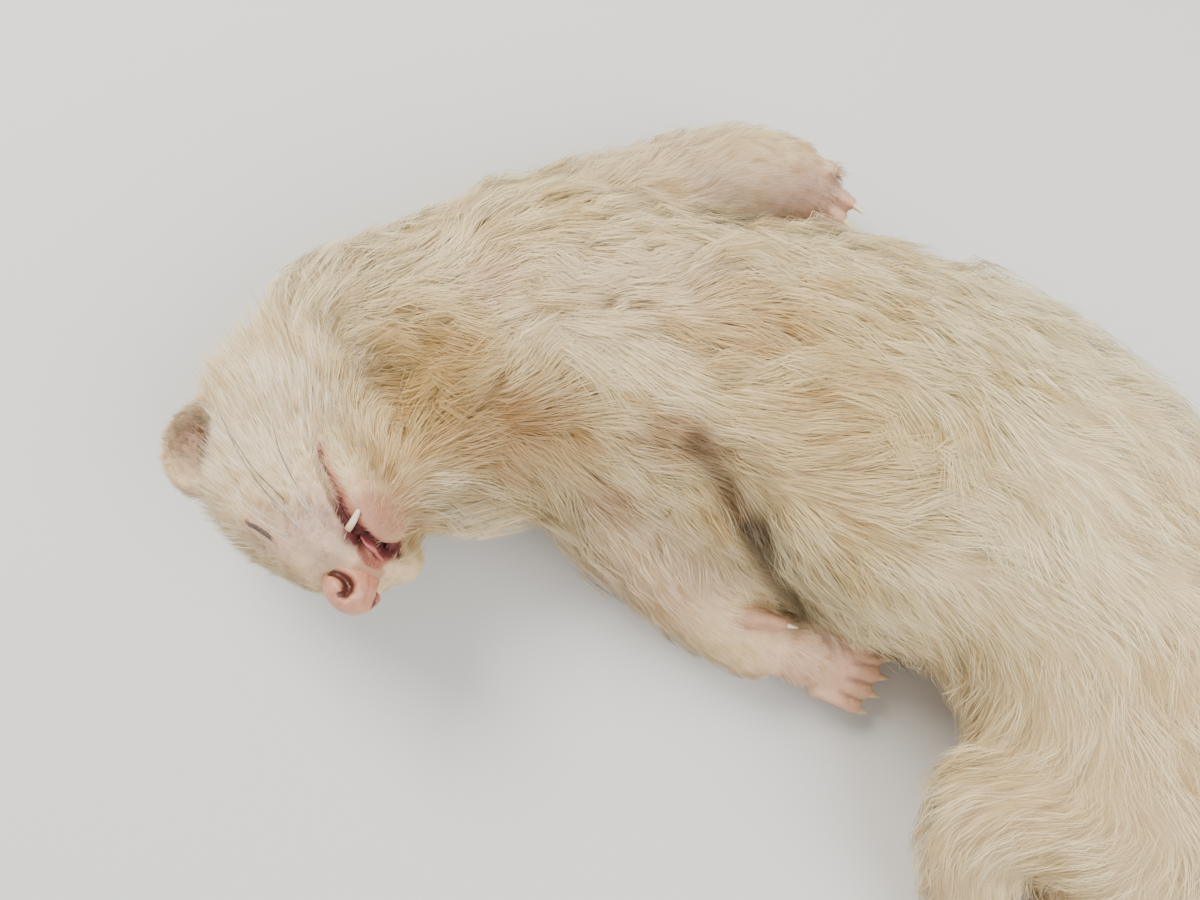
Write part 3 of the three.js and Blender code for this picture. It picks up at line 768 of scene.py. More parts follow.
# Pulls that shape the mouth, in the head's frame: a middle, its reach in three directions, and the move.
FACE_PULLS = (
    ((62.0, 0.0, -5.5), (9.0, 10.0, 5.0), (2.4, 0.0, 2.2)),
    ((66.5, 0.0, 1.2), (5.6, 9.0, 3.6), (3.2, 0.0, 0.0)),
    ((62.0, 6.5, -0.4), (4.5, 4.0, 2.2), (1.0, 0.3, -1.5)),
    ((70.0, 7.6, 10.0), (3.2, 3.0, 5.0), (-2.4, -0.7, 0.0)),
    ((69.5, 0.0, 15.5), (3.5, 6.0, 2.6), (-2.0, 0.0, -0.5)),
)


def sculpt_face(points, normals, groups):
    """How far each point of the face moves, in millimetres: lids, lips, brow and cheeks."""
    head = to_head(points)
    near = (groups == FACE) & (head[:, 0] > 34)
    side = np.sign(head[near, 1])
    spot = left_half(head[near])
    moved = np.zeros_like(spot)
    for middle, reach, pull in FACE_PULLS:
        away = (((spot - middle) / reach) ** 2).sum(1)
        moved += np.exp(-away)[:, None] * np.array(pull)
    moved[:, 1] *= side
    # The lips close along the side of the mouth.
    line = np.interp(spot[:, 0], MOUTH_LINE[:, 0], MOUTH_LINE[:, 2])
    shut = ramp(spot[:, 0], 36, 42) * (1 - ramp(spot[:, 0], 59, 64)) * ramp(spot[:, 1], 3, 6)
    rise = spot[:, 2] + moved[:, 2] - line
    moved[:, 2] -= 0.85 * rise * np.exp(-((rise / 2.8) ** 2)) * shut
    eye = along_line(spot, EYE_LINE)[0]
    mouth = along_line(spot, MOUTH_LINE)[0]
    out = 0.9 * np.exp(-((eye / 4.2) ** 2))
    out -= 1.3 * np.exp(-((eye / 0.8) ** 2))
    out += 0.45 * np.exp(-(((mouth - 2.2) / 1.2) ** 2))
    out -= 1.0 * np.exp(-((mouth / 0.7) ** 2))
    hollow = egg_reach(spot, (62, 12.5, 12.5), (5, 4, 4))
    out -= 0.6 * np.exp(-(hollow**2))
    move = np.zeros_like(points)
    move[near] = HEAD_SCALE * moved @ HEAD_AXES + out[:, None] * normals[near]
    return move


def colour_property(name, description, default):
    """A colour that a user may change."""
    return FloatVectorProperty(
        name=name, description=description, default=default, size=4, subtype="COLOR", min=0, max=1
    )


class SkinSettings(bpy.types.PropertyGroup):
    fineness: FloatProperty(
        name="Fineness", description="Size of the skin's mesh", default=0.00072, min=0.0004, unit="LENGTH"
    )
    faces: IntProperty(
        name="Faces", description="Most triangles that the skin keeps", default=190000, min=20000
    )
    # The flesh is the pink of bare skin, made darker as painted shade for the shaded chin.
    flesh: colour_property("Flesh", "Colour of the thin bare skin of the lips and toes", srgb(156, 92, 76))


# How far the solids are grown before the skin is drawn over them, in millimetres.
GROWN = 0.85
EAR_GROWN = 0.35
# How much the skin is smoothed, by group: the face, the ears, the body and tail, the legs, the paws.
SMOOTHED = [0.3] + [0.1] * 2 + [0.95] * 2 + [0.6] * 4 + [0.05] * 4
SMOOTH_ROUNDS = 34
BLEND_ROUNDS = 10
# The steps by which the thinning of the skin fades in.
THIN_LEVELS = 5
# The lowest place of the skin, of the fur and of the whiskers over the floor, in millimetres.
SKIN_FLOOR = 0.4
FUR_FLOOR = 0.05
WHISKER_FLOOR = 0.1


def add_form(corners, faces, own_corners, own_faces):
    """Adds a form's corners and faces to lists of them."""
    start = len(corners)
    corners += own_corners
    faces += [[start + i for i in face] for face in own_faces]


def starting_shape():
    """The grown solids with the paws and the nose, as one mesh of forms that cross each other."""
    corners, faces = [], []
    for name in FLESH_NODES:
        if name in PAWS:
            own_corners, own_faces = paw_form(name)
            add_form(corners, faces, placed(own_corners).tolist(), own_faces)
        else:
            grow = EAR_GROWN if name.startswith("ear") else GROWN
            add_form(corners, faces, *clean_node(name, grow * MM))
    middle = from_head(NOSE_AT - (0.6, 0, 0))
    own_corners, own_faces = egg(middle, HEAD_AXES, NOSE_SIZE * HEAD_SCALE * 0.9, 32, 20)
    add_form(corners, faces, placed(own_corners).tolist(), own_faces)
    mesh = bpy.data.meshes.new("skin_rough")
    mesh.from_pydata(corners, [], faces)
    return mesh


def flesh_solids():
    """The faces of the solids, to look places up on, and the coat's group of each face."""
    corners, faces, owner = [], [], []
    for name in FLESH_NODES:
        own_corners, own_faces = clean_node(name)
        add_form(corners, faces, own_corners, own_faces)
        owner += [group_of(name)] * len(own_faces)
    return BVHTree.FromPolygons(corners, faces), np.array(owner)


def nearest_groups(mesh, solids, owner):
    """The coat's group of the solid nearest to each of a mesh's points."""
    found = [solids.find_nearest(v.co)[2] for v in mesh.vertices]
    return owner[np.array(found)]


def shape_skin(net, groups):
    """Smooths the skin, shapes the face and presses the folds in. Gives the places of its points."""
    weight = np.choose(groups, SMOOTHED)
    back = 1 - ramp(to_head(net.points())[:, 0], -2, 24)
    weight = np.where(groups == FACE, np.maximum(weight, 0.9 * back), weight)
    weight = weight * (1 - 0.9 * thumb_share(net.points()))
    points = net.eased(net.points(), SMOOTH_ROUNDS, net.eased(weight, BLEND_ROUNDS))
    net.move_to(points)
    normals = net.normals()
    points += sculpt_face(points, normals, groups)
    for line, wide, deep in FOLDS:
        fold = deep * np.exp(-((along_line(points, line)[0] / wide) ** 2))
        fold = fold * (groups != EAR_LEFT)
        points -= fold[:, None] * normals
    points = net.eased(points, 1, 0.4)
    net.move_to(points)
    return points


def thin_skin(skin, net, points, groups, most):
    """Leaves the skin a number of triangles, which are finest on the face and the forepaws."""
    fine = net.eased(np.isin(groups, (FACE, EAR_LEFT)).astype(float), 6)
    fine *= ramp(to_head(points)[:, 0], 8, 24)
    hands = net.eased(np.isin(groups, HANDS).astype(float), 6)
    plain = 1 - np.clip(np.maximum(fine, 0.8 * hands), 0, 1)
    layer = skin.vertex_groups.new(name="plain")
    for level in range(1, THIN_LEVELS + 1):
        chosen = np.where(np.round(plain * THIN_LEVELS) == level)[0].tolist()
        layer.add(chosen, level / THIN_LEVELS, "REPLACE")
    skin.data.calc_loop_triangles()
    thin = skin.modifiers.new("thin", "DECIMATE")
    thin.ratio = min(1.0, most / len(skin.data.loop_triangles))
    thin.vertex_group = "plain"
    thin.vertex_group_factor = 1.0
    thin.use_collapse_triangulate = True
    with_modifiers(skin)
    skin.vertex_groups.clear()


def sink_skin(net, groups):
    """Sets the skin in from the solids by the coat's depth, and keeps on it what the coat needs to know."""
    points, normals = net.points(), net.normals()
    length, lie = fur_fields(net, points, normals, groups)
    depth = np.maximum(DEPTH_SHARE * length, LEAST_DEPTH) + GROWN
    depth = np.where(np.isin(groups, HANDS + FEET), PAW_DEPTH, depth)
    depth = np.where(np.isin(groups, EARS), EAR_GROWN + EAR_DEPTH, depth)
    front = left_half(to_head(points))
    lips = along_line(front, MOUTH_LINE)[0]
    depth -= np.where(groups == FACE, 0.6 * (1 - ramp(lips, 2, 4)) * ramp(front[:, 0], 36, 42), 0)
    depth = net.eased(depth, 6)
    depth += (PAW_DEPTH - depth) * thumb_share(points)
    points = points - normals * depth[:, None]
    points[:, 2] = np.maximum(points[:, 2], SKIN_FLOOR)
    net.move_to(points)
    net.mesh.polygons.foreach_set("use_smooth", np.ones(len(net.mesh.polygons), bool))
    kept = {"lie": lie, "fur_length": length, "coat_group": groups}
    kept.update({"bare": bareness(points, groups), "deep": mouth_lining_and_crease_shade(points, groups)})
    for name, values in kept.items():
        write_attribute(net.mesh, name, values)


class BuildSkin(bpy.types.Operator):
    """One skin over the whole animal, inside its solids by the coat's depth"""

    bl_idname = "ferret.skin"
    bl_label = "Skin"

    def execute(self, context):
        settings = context.scene.ferret_skin
        solids, owner = flesh_solids()
        skin = new_object("skin", starting_shape())
        remesh = skin.modifiers.new("even", "REMESH")
        remesh.mode = "VOXEL"
        remesh.voxel_size = settings.fineness
        net = Net(with_modifiers(skin))
        groups = nearest_groups(net.mesh, solids, owner)
        points = shape_skin(net, groups)
        thin_skin(skin, net, points, groups, settings.faces)
        sink_skin(Net(skin.data), nearest_groups(skin.data, solids, owner))
        skin.data.materials.clear()
        skin.data.materials.append(skin_material(settings))
        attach(skin, BODY)
        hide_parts(*[name for name in FLESH_NODES if not name.startswith("eye_")])
        return {"FINISHED"}


def bareness(points, groups):
    """How bare the skin is at each point: lips, nose root, chin, lids, toes, ears."""
    head = to_head(points)
    spot = left_half(head)
    mouth, reach, _ = along_line(spot, np.vstack((MOUTH_LINE, [(64, 5, -0.6), (69, 1, 0.6)])))
    wide = np.interp(reach, (0, 6, 12, 22, 30), (1.2, 1.6, 2.0, 3.0, 3.6))
    low = np.interp(spot[:, 0], MOUTH_LINE[:, 0], MOUTH_LINE[:, 2]) - spot[:, 2]
    wide = wide * (1 + 1.3 * ramp(low, -0.4, 1.0))
    lips = np.interp(reach, (0, 14), (0.7, 1.0)) * (1 - ramp(mouth, 0.35 * wide, wide))
    front = 0.7 * (1 - ramp(egg_reach(head, (70, 0, 3.4), (4.6, 6.2, 4.4)), 0.5, 1.2))
    chin = 0.8 * (1 - ramp(egg_reach(head, (62, 2.5, -6.5), (10.5, 11, 7)), 0.3, 1.3))
    lids = 0.8 * (1 - ramp(along_line(spot, EYE_LINE)[0], 0.5, 1.7))
    bare = (groups == FACE) * np.maximum.reduce((lips, front, chin, lids))
    for group in HANDS + FEET:
        own = groups == group
        reach = along_line(points[own], LINES[group])[1]
        bare[own] = 0.42 * ramp(reach / reach.max(), 0.6, 0.9)
    bare = np.maximum(bare, 0.62 * thumb_share(points))
    bare[np.isin(groups, EARS)] = 0.2
    return bare


def mouth_lining_and_crease_shade(points, groups):
    """Where the skin turns into the mouth, partly the lining's dark red and partly painted shade, and the
    painted shade of the groove along the lips and of the creases where the toes meet.
    """
    face = groups == FACE
    head = to_head(points)
    spot = left_half(head)
    inside = face * ramp(head[:, 0], 45, 50) * (1 - ramp(head[:, 0], 65.5, 68.5))
    inside = inside * (1 - ramp(np.abs(head[:, 2] + 0.9), 1.2, 2.4))
    inside = inside * (1 - ramp(spot[:, 1], 7.5, 10.5))
    flat = along_line(spot * (1, 0, 1), MOUTH_LINE * (1, 0, 1))[0]
    groove = (1 - ramp(flat, 0.3, 1.0)) * ramp(spot[:, 1], 4, 6)
    deep = np.maximum(inside, 0.85 * groove * face)
    for name in PAWS:
        own = groups == group_of(name)
        paw = paw_plan(name)
        away = [along_line(points[own], np.array(toe[:3]))[0] for toe in paw.toes]
        nearest, second = np.sort(away, axis=0)[:2]
        crease = 1 - ramp(second - nearest, 0.3, 1.3)
        deep[own] = 0.5 * crease * ramp((points[own] - paw.knuckles) @ paw.along, -2.5, 0.5)
    return deep


def skin_material(settings):
    """Skin under short fur: the coat's colours darkened as painted shade under the fur, pink where it is
    bare, dark red in the mouth, partly the lining's colour and partly painted shade, and painted shade in
    the groove along the lips and between the toes.
    """
    finish = Finish("ferret skin", 0.7)
    place = finish.place()
    fine = finish.noise(place, 2600.0)
    broad = finish.noise(place, 260.0, 3.0)
    # The coat's colours are mixed towards a darker tan here, as painted shade under the fur.
    coat = finish.mix(0.45, finish.use(markings_light_and_shade_group(), Place=place), srgb(206, 168, 128))
    coat = finish.speckled(fine, 0.35, 0.65, 0.25, coat, srgb(186, 146, 104))
    flesh = finish.speckled(broad, 0.3, 0.7, 1.0, tuple(settings.flesh), srgb(174, 110, 90))
    flesh = finish.speckled(fine, 0.45, 0.7, 0.3, flesh, srgb(144, 74, 60))
    bare = finish.attribute("bare")
    flesh = finish.mix(finish.step(bare, 0.35, 0.65), srgb(226, 158, 144), flesh)
    colour = finish.mix(bare, coat, flesh)
    finish.relief(finish.math("ADD", fine, finish.math("MULTIPLY", broad, 0.6)), 0.35, 0.0003)
    # The mouth's dark red, partly the lining's own colour and partly painted shade, with painted shade in
    # the groove along the lips and between the toes.
    return finish.coloured(finish.mix(finish.attribute("deep"), colour, srgb(92, 38, 36)))


class FaceSettings(bpy.types.PropertyGroup):
    nose: colour_property("Nose", "Colour of the bare nose", srgb(194, 130, 102))
    whisker: FloatProperty(
        name="Whisker",
        description="Half the thickness of a whisker at its root",
        default=0.00012,
        min=0.00003,
        unit="LENGTH",
    )


# The nose in the head's frame: its middle and half axes, the swellings round the nostril with theirs, and
# the nostril's hooked slit with its width and depth at each place.
NOSE_AT = np.array((70.1, 0.2, 9.0))
NOSE_SIZE = np.array((6.7, 6.8, 5.9))
WING = (np.array((71.0, 6.4, 9.4)), (4.2, 3.4, 4.2))
LOBE = (np.array((72.6, 6.0, 9.2)), (1.7, 1.7, 1.7))
NOSTRIL = np.array(
    [(68.2, 7.0, 8.6), (69.8, 6.7, 6.8), (71.1, 6.1, 5.9), (72.4, 5.3, 5.6), (73.5, 4.6, 6.1)]
    + [(74.2, 4.4, 7.0), (74.6, 4.5, 8.1), (74.3, 5.0, 8.8)]
)
NOSTRIL_SIZES = ((0.8, 0.9), (1.05, 1.4), (1.25, 2.0), (1.5, 2.6), (1.7, 3.0), (1.7, 3.0), (1.4, 2.2))
NOSTRIL_SIZES += ((0.9, 1.1),)


class BuildNose(bpy.types.Operator):
    """The bare nose with its hooked nostrils and the furrow under them"""

    bl_idname = "ferret.nose"
    bl_label = "Nose"

    def execute(self, context):
        settings = context.scene.ferret_face
        sides, rings = 176, 120
        turn = np.linspace(0, 0.8 * math.pi, rings)
        around = np.linspace(0, 2 * math.pi, sides, endpoint=False)
        x = np.cos(turn)[:, None] + 0 * around
        out = np.sin(turn)[:, None] ** 0.92
        form = np.stack([x, out * np.cos(around), out * np.sin(around)], 2).reshape(-1, 3)
        head = NOSE_AT + form * NOSE_SIZE
        normal = unit(form / NOSE_SIZE)
        # The wings swell round each nostril, and a furrow runs down the middle to the lip.
        swell = np.zeros(len(head))
        inside = np.zeros(len(head))
        for side in (1, -1):
            mirror = np.array((1, side, 1))
            line = NOSTRIL * mirror
            away, along, _ = along_line(head, line)
            steps = np.concatenate([[0], np.linalg.norm(np.diff(line, axis=0), axis=1).cumsum()])
            wide = np.interp(along, steps, [size for size, _ in NOSTRIL_SIZES])
            deep = np.interp(along, steps, [size for _, size in NOSTRIL_SIZES])
            wing = egg_reach(head, WING[0] * mirror, WING[1])
            lobe = egg_reach(head, LOBE[0] * mirror, LOBE[1])
            swell += 0.35 * np.exp(-(wing**2)) + 0.3 * np.exp(-(lobe**2))
            swell += 0.1 * np.exp(-(((away - 2.3) / 1.1) ** 2))
            cut = np.exp(-((away / wide) ** 3))
            swell -= deep * cut
            inside = np.maximum(inside, cut)
        furrow = np.exp(-(((head[:, 1] - 0.1) / 0.55) ** 2)) * ramp(-head[:, 2], -8.6, -5.4)
        swell -= 0.16 * furrow
        swell += 0.06 * wobble(head, 8, 12)
        head = head + normal * swell[:, None]
        faces = []
        for k in range(rings - 1):
            for i in range(sides):
                p, q = k * sides + i, k * sides + (i + 1) % sides
                faces.append((p, p + sides, q + sides, q))
        mesh = mesh_from("nose_pad", from_head(head), faces)
        write_attribute(mesh, "inside", inside)
        write_attribute(mesh, "furrow", furrow)
        nose = new_object("nose_pad", mesh, nose_material(settings))
        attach(nose, BODY)
        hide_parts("nose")
        return {"FINISHED"}


def nose_material(settings):
    """Bare moist skin with fine pebbles, darker and redder in the nostrils, partly their own colour and
    partly painted shade down in them.
    """
    finish = Finish("ferret nose", 0.42, Coat_Weight=0.12, Coat_Roughness=0.3)
    place = finish.place()
    broad = finish.noise(place, 420.0)
    fine = finish.noise(place, 3600.0)
    skin = finish.speckled(broad, 0.35, 0.65, 1.0, tuple(settings.nose), srgb(206, 146, 116))
    skin = finish.speckled(fine, 0.5, 0.75, 0.3, skin, srgb(176, 102, 76))
    skin = finish.mix(finish.math("MULTIPLY", finish.attribute("furrow"), 0.45), skin, srgb(190, 112, 96))
    finish.relief(fine, 0.25, 0.00012)
    # The nostrils turn deep brown, partly their own colour and partly painted shade down in the openings.
    inside = finish.attribute("inside")
    return finish.coloured(finish.speckled(inside, 0.08, 0.65, 1.0, skin, srgb(88, 42, 32)))


# The tongue's tip and the tooth in the head's frame: rows of x, y, z, half width and half depth.
TONGUE = [(52, -1.0, 2.2, 2.2, 0.6), (59, -0.9, 1.7, 3.0, 0.65), (63.5, -0.6, 0.9, 4.2, 0.65)]
TONGUE += [(66.6, -0.3, 0.1, 4.5, 0.6)]
CANINE = [(62.3, 6.6, 1.4, 0.9, 0.95), (62.3, 7.0, -1.2, 0.85, 0.9), (62.0, 7.4, -3.6, 0.74, 0.8)]
CANINE += [(61.6, 7.8, -5.4, 0.56, 0.62)]


class BuildMouth(bpy.types.Operator):
    """The tip of the tongue and the upper canine tooth, which show between the lips"""

    bl_idname = "ferret.mouth"
    bl_label = "Mouth"

    def execute(self, context):
        for name, node, rows, up, finish in (
            ("tongue_tip", "tongue", TONGUE, (0, 0.3, 1), tongue_material()),
            ("canine_tooth", "canine_left", CANINE, (1, 0, 0), tooth_material()),
        ):
            corners, faces = tube(rows, up, 40, 40, (6, 14, 25, 40, 60))
            if name == "tongue_tip":
                corners[:, 2] -= 0.35 * np.exp(-((corners[:, 1] / 1.0) ** 2))
                corners[:, 2] += 0.1 * wobble(corners, 4, 31)
            piece = new_object(name, mesh_from(name, from_head(corners), faces), finish)
            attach(piece, BODY)
            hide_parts(node)
        return {"FINISHED"}


def tongue_material():
    """Wet pink flesh with fine buds."""
    finish = Finish("ferret tongue", 0.34, Coat_Weight=0.3, Coat_Roughness=0.2)
    place = finish.place()
    buds = finish.noise(place, 3400.0)
    broad = finish.noise(place, 380.0)
    flesh = finish.speckled(broad, 0.35, 0.65, 1.0, srgb(188, 100, 100), srgb(168, 80, 82))
    finish.relief(buds, 0.35, 0.00015)
    return finish.coloured(finish.speckled(buds, 0.5, 0.72, 0.4, flesh, srgb(204, 124, 120)))


def tooth_material():
    """Enamel, ivory at the tip and yellower at the gum."""
    finish = Finish("ferret tooth", 0.28, Coat_Weight=0.25, Coat_Roughness=0.15)
    place = finish.place()
    gum = Vector(placed(face_place(62.3, 6.9, 0.2)))
    low = finish.vector("DISTANCE", place, gum)
    enamel = finish.speckled(low, 0.0006, 0.0036, 1.0, srgb(214, 184, 140), srgb(240, 230, 204))
    fine = finish.noise(place, 1500.0)
    finish.relief(fine, 0.1, 0.0001)
    return finish.coloured(finish.speckled(fine, 0.4, 0.7, 0.25, enamel, srgb(220, 200, 160)))


class BuildEyes(bpy.types.Operator):
    """The shut eyes: the dark edges of the lids, with the pink corner by the nose"""

    bl_idname = "ferret.eyes"
    bl_label = "Eyes"

    def execute(self, context):
        skin = skin_tree()
        material = lid_material()
        for side, name in ((1, "left"), (-1, "right")):
            line = smooth_curve(EYE_LINE * (1, side, 1), 26)
            share = np.linspace(0, 1, len(line))
            found = [skin.find_nearest(Vector(placed(place)))[0] for place in from_head(line)]
            places = np.array([planned(place) for place in found])
            out = np.array((0.46, 0.82 * side, 0.32)) @ HEAD_AXES
            places += out * (0.12 + 0.1 * np.sin(math.pi * share))[:, None]
            wide = 0.14 + 0.46 * np.sin(math.pi * np.clip(share * 0.92 + 0.05, 0, 1)) ** 0.7
            rows = np.column_stack((places, wide, 0.6 * wide))
            corners, faces = tube(rows, out, 12, 60)
            mesh = mesh_from("lids_" + name, corners, faces)
            corner = np.linalg.norm(corners - places[0], axis=1)
            write_attribute(mesh, "corner", 1 - ramp(corner, 0.4, 1.8))
            lids = new_object("lids_" + name, mesh, material)
            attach(lids, BODY)
            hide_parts("eye_" + name)
        return {"FINISHED"}


def lid_material():
    """The dark moist edge of a lid, pink at the inner corner."""
    finish = Finish("ferret lid", 0.45)
    fine = finish.noise(finish.place(), 3200.0)
    edge = finish.speckled(fine, 0.3, 0.7, 1.0, srgb(70, 54, 48), srgb(98, 78, 68))
    finish.relief(fine, 0.3, 0.0001)
    return finish.coloured(finish.mix(finish.attribute("corner"), edge, srgb(204, 140, 134)))


def skin_tree():
    """The finished skin as faces to look places up on, in metres."""
    mesh = bpy.data.objects["skin"].data
    return BVHTree.FromPolygons([v.co for v in mesh.vertices], [p.vertices for p in mesh.polygons])


# A claw's places along the toe's end, with its half width and half depth.
CLAW = ((-0.6, 1.0, 1.2), (1.5, 0.9, 1.15), (3.2, 0.66, 0.9), (4.7, 0.34, 0.5), (5.8, 0.08, 0.12))


class BuildClaws(bpy.types.Operator):
    """The claws, curved and tapered, set in the tips of the toes"""

    bl_idname = "ferret.claws"
    bl_label = "Claws"

    def execute(self, context):
        material = claw_material()
        for name in PAWS:
            paw = paw_plan(name)
            forms, tips = [], []
            for i, toe in enumerate(paw.toes):
                size = 0.7 if i == 0 else 1.0
                rows = []
                for reach, wide, high in size * np.array(CLAW):
                    at = toe.tip + toe.bend * reach + paw.palm * (0.045 * max(reach, 0) ** 2 - 0.5)
                    rows.append((*at, wide, high))
                forms.append(tube(rows, paw.palm, 14, 18))
                tips.append(np.linspace(0, 1, len(forms[-1][0])))
            corners, faces = joined(forms)
            mesh = mesh_from("claws_" + name, corners, faces)
            write_attribute(mesh, "reach", np.concatenate(tips))
            claws = new_object("claws_" + name, mesh, material)
            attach(claws, BODY)
            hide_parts(*[f"claw_{name}_{k}" for k in range(1, 6)])
        return {"FINISHED"}


def claw_material():
    """Pale horn, pinkish where the quick shows through and clear at the tip."""
    finish = Finish("ferret claw", 0.32, Coat_Weight=0.15, Coat_Roughness=0.2)
    stretched = finish.vector("MULTIPLY", finish.place(), Vector((1.0, 3.0, 3.0)))
    streaks = finish.noise(stretched, 1200.0)
    reach = finish.attribute("reach")
    horn = finish.speckled(reach, 0.15, 0.6, 1.0, srgb(232, 200, 170), srgb(240, 226, 192))
    finish.relief(streaks, 0.2, 0.0001)
    return finish.coloured(finish.speckled(streaks, 0.4, 0.7, 0.35, horn, srgb(206, 184, 148)))


# The long dark whiskers of the left side: the places that each passes, in the head's frame.
DARK_WHISKERS = (
    [(55.3, 17, 6.8), (49.2, 20.4, 7.5), (40.5, 24.6, 7.8), (31.3, 27.6, 7.6), (22.8, 29.2, 7.4)]
    + [(16.6, 30, 7.8)],
    [(52.4, 17.9, 5.2), (44.3, 22.8, 6.5), (36.5, 26.2, 6.9), (29, 28.6, 7.0), (24, 30, 7.3)],
    [(51.2, 16, 2.1), (42.6, 20.8, 0), (33.8, 23.6, -2.8), (28, 26, -4.6)],
)


def curved_hair(root, length, way, bend, share):
    """Places along a hair that leaves its root one way and bends by a share of its length."""
    reach = np.linspace(0, 1, 6)[:, None]
    return root + length * (way * reach + bend * reach**2 * share)


def pale_whiskers(side, rng):
    """The pale whiskers of one side, three rows on the pad and three over the eye, with their thickness."""
    hairs = []
    for row in range(3):
        for k in range(4):
            root = np.array((66.5 - 2.6 * k, (8.4 + 1.5 * k + 0.4 * row) * side, 2.2 + 2.5 * row + 0.3 * k))
            length = rng.uniform(16, 26)
            way = unit((-0.55 + 0.12 * rng.normal(), (1.0 + 0.1 * rng.normal()) * side, -0.25 + 0.3 * row))
            line = curved_hair(root, length, way, np.array((-0.6, -0.15 * side, -0.1)), 0.6)
            hairs.append((line, 0.0, rng.uniform(0.55, 0.8)))
    for k in range(3):
        root = np.array((52 - 2 * k, (15.5 + k) * side, 21.5 + k * 0.8))
        line = curved_hair(root, 13, unit((-0.5, 0.55 * side, 0.8)), np.array((-0.6, 0, -0.2)), 0.4)
        hairs.append((line, 0.0, 0.55))
    return hairs


class BuildWhiskers(bpy.types.Operator):
    """The whiskers, which sweep back from the pads beside the nose"""

    bl_idname = "ferret.whiskers"
    bl_label = "Whiskers"

    def execute(self, context):
        thick = context.scene.ferret_face.whisker / MM
        material = whisker_material()
        rng = np.random.default_rng(41)
        lifted = [np.array(line) + np.array((0, 0.6, -0.1)) for line in DARK_WHISKERS]
        hairs = {"left": [(line, 1.0, 0.9) for line in lifted], "right": []}
        for side, name in ((1, "left"), (-1, "right")):
            forms, dark = [], []
            for line, tone, share in hairs[name] + pale_whiskers(side, rng):
                half = thick * share * np.linspace(1, 0.22, len(line))
                rows = np.column_stack((from_head(line), half, half))
                forms.append(tube(rows, CROWN + 0.01, 6, 22, (40,)))
                dark += [tone] * len(forms[-1][0])
            corners, faces = joined(forms)
            corners[:, 2] = np.maximum(corners[:, 2], WHISKER_FLOOR)
            mesh = mesh_from("whiskers_" + name, corners, faces)
            write_attribute(mesh, "tone", dark)
            whiskers = new_object("whiskers_" + name, mesh, material)
            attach(whiskers, BODY)
        return {"FINISHED"}


def whisker_material():
    """Stiff hair, dark brown in the long ones and pale in the rest."""
    finish = Finish("ferret whisker", 0.4)
    fine = finish.noise(finish.place(), 900.0)
    pale = finish.speckled(fine, 0.3, 0.7, 1.0, srgb(238, 232, 218), srgb(214, 202, 180))
    dark = finish.speckled(fine, 0.3, 0.7, 1.0, srgb(72, 56, 46), srgb(110, 90, 74))
    return finish.coloured(finish.mix(finish.attribute("tone"), pale, dark))


class CoatSettings(bpy.types.PropertyGroup):
    fullness: FloatProperty(
        name="Fullness",
        description="Share of the coat's tufts that are built",
        default=1.0,
        min=0.05,
        max=1.0,
        subtype="FACTOR",
    )
    lift: FloatProperty(
        name="Lift",
        description="Angle at which the tufts leave the skin",
        default=math.radians(28),
        subtype="ANGLE",
    )
    clump: FloatProperty(
        name="Clumping",
        description="How far the tufts of a lock draw together at their tips",
        default=0.42,
        min=0,
        max=1,
        subtype="FACTOR",
    )
    width: FloatProperty(
        name="Tuft width",
        description="Width of a long tuft at its middle",
        default=0.000125,
        min=0.00005,
        unit="LENGTH",
    )


# The coat's pieces: the groups that each covers, its range along the spine in millimetres, its number of
# tufts, and whether the tufts bend.
COAT_PIECES = (
    ("coat_face", (FACE,), None, 42000, False),
    ("coat_cheeks", (FACE,), None, 22000, True),
    ("coat_ears", (EAR_LEFT, EAR_RIGHT), None, 8000, False),
    ("coat_neck", (TRUNK,), (0, 58), 31000, True),
    ("coat_breast", (TRUNK,), (58, 88), 30000, True),
    ("coat_ribs", (TRUNK,), (88, 122), 30000, True),
    ("coat_belly", (TRUNK,), (122, 166), 30000, True),
    ("coat_hips", (TRUNK,), (166, 400), 22000, True),
    ("coat_tail", (TAIL,), None, 8000, True),
    ("coat_forelegs", (ARM_LEFT, ARM_RIGHT), None, 20000, True),
    ("coat_hind_legs", (LEG_LEFT, LEG_RIGHT), None, 9000, True),
    ("coat_hands", (HAND_LEFT, HAND_RIGHT), None, 11000, False),
    ("coat_feet", (FOOT_LEFT, FOOT_RIGHT), None, 6000, False),
)
# A tuft's triangles: a bent one has a root, three corners round its middle and a tip, and a straight one has
# three corners at its root and a tip.
BENT_TRIANGLES = np.array([(0, 1, 2), (0, 3, 1), (0, 2, 3), (3, 2, 4), (1, 3, 4), (2, 1, 4)])
STRAIGHT_TRIANGLES = np.array([(0, 3, 1), (1, 3, 2), (2, 3, 0), (0, 1, 2)])
# The size of a tuft's patch on the unwrap, and its corners there.
PATCH = 0.003
PATCH_CORNERS = np.array([(0.5, 0), (0, 0.5), (1, 0.5), (0.5, 0.65), (0.5, 1)])
# The distance between the locks of bent and of straight tufts, in millimetres.
LOCK_SPACING = {True: 2.7, False: 1.1}
# The face's piece is the head in front of the first place along it, and the cheeks lie behind the second.
FACE_FROM = 4
CHEEKS_TO = 42
# The head on the unwrap: its reach behind the nape, its whole length, and its axis over the mouth line. Then
# the length and the height of an ear there.
HEAD_BACK = 14
HEAD_LONG = 92
HEAD_MIDDLE = 8
EAR_LONG = 16
EAR_HIGH = 36
# How much the tufts' way, length and lift vary, by lock and by tuft.
WAY_VARIES = (0.13, 0.13)
LENGTH_VARIES = (0.18, 0.12)
LIFT_VARIES = (0.3, 0.2)
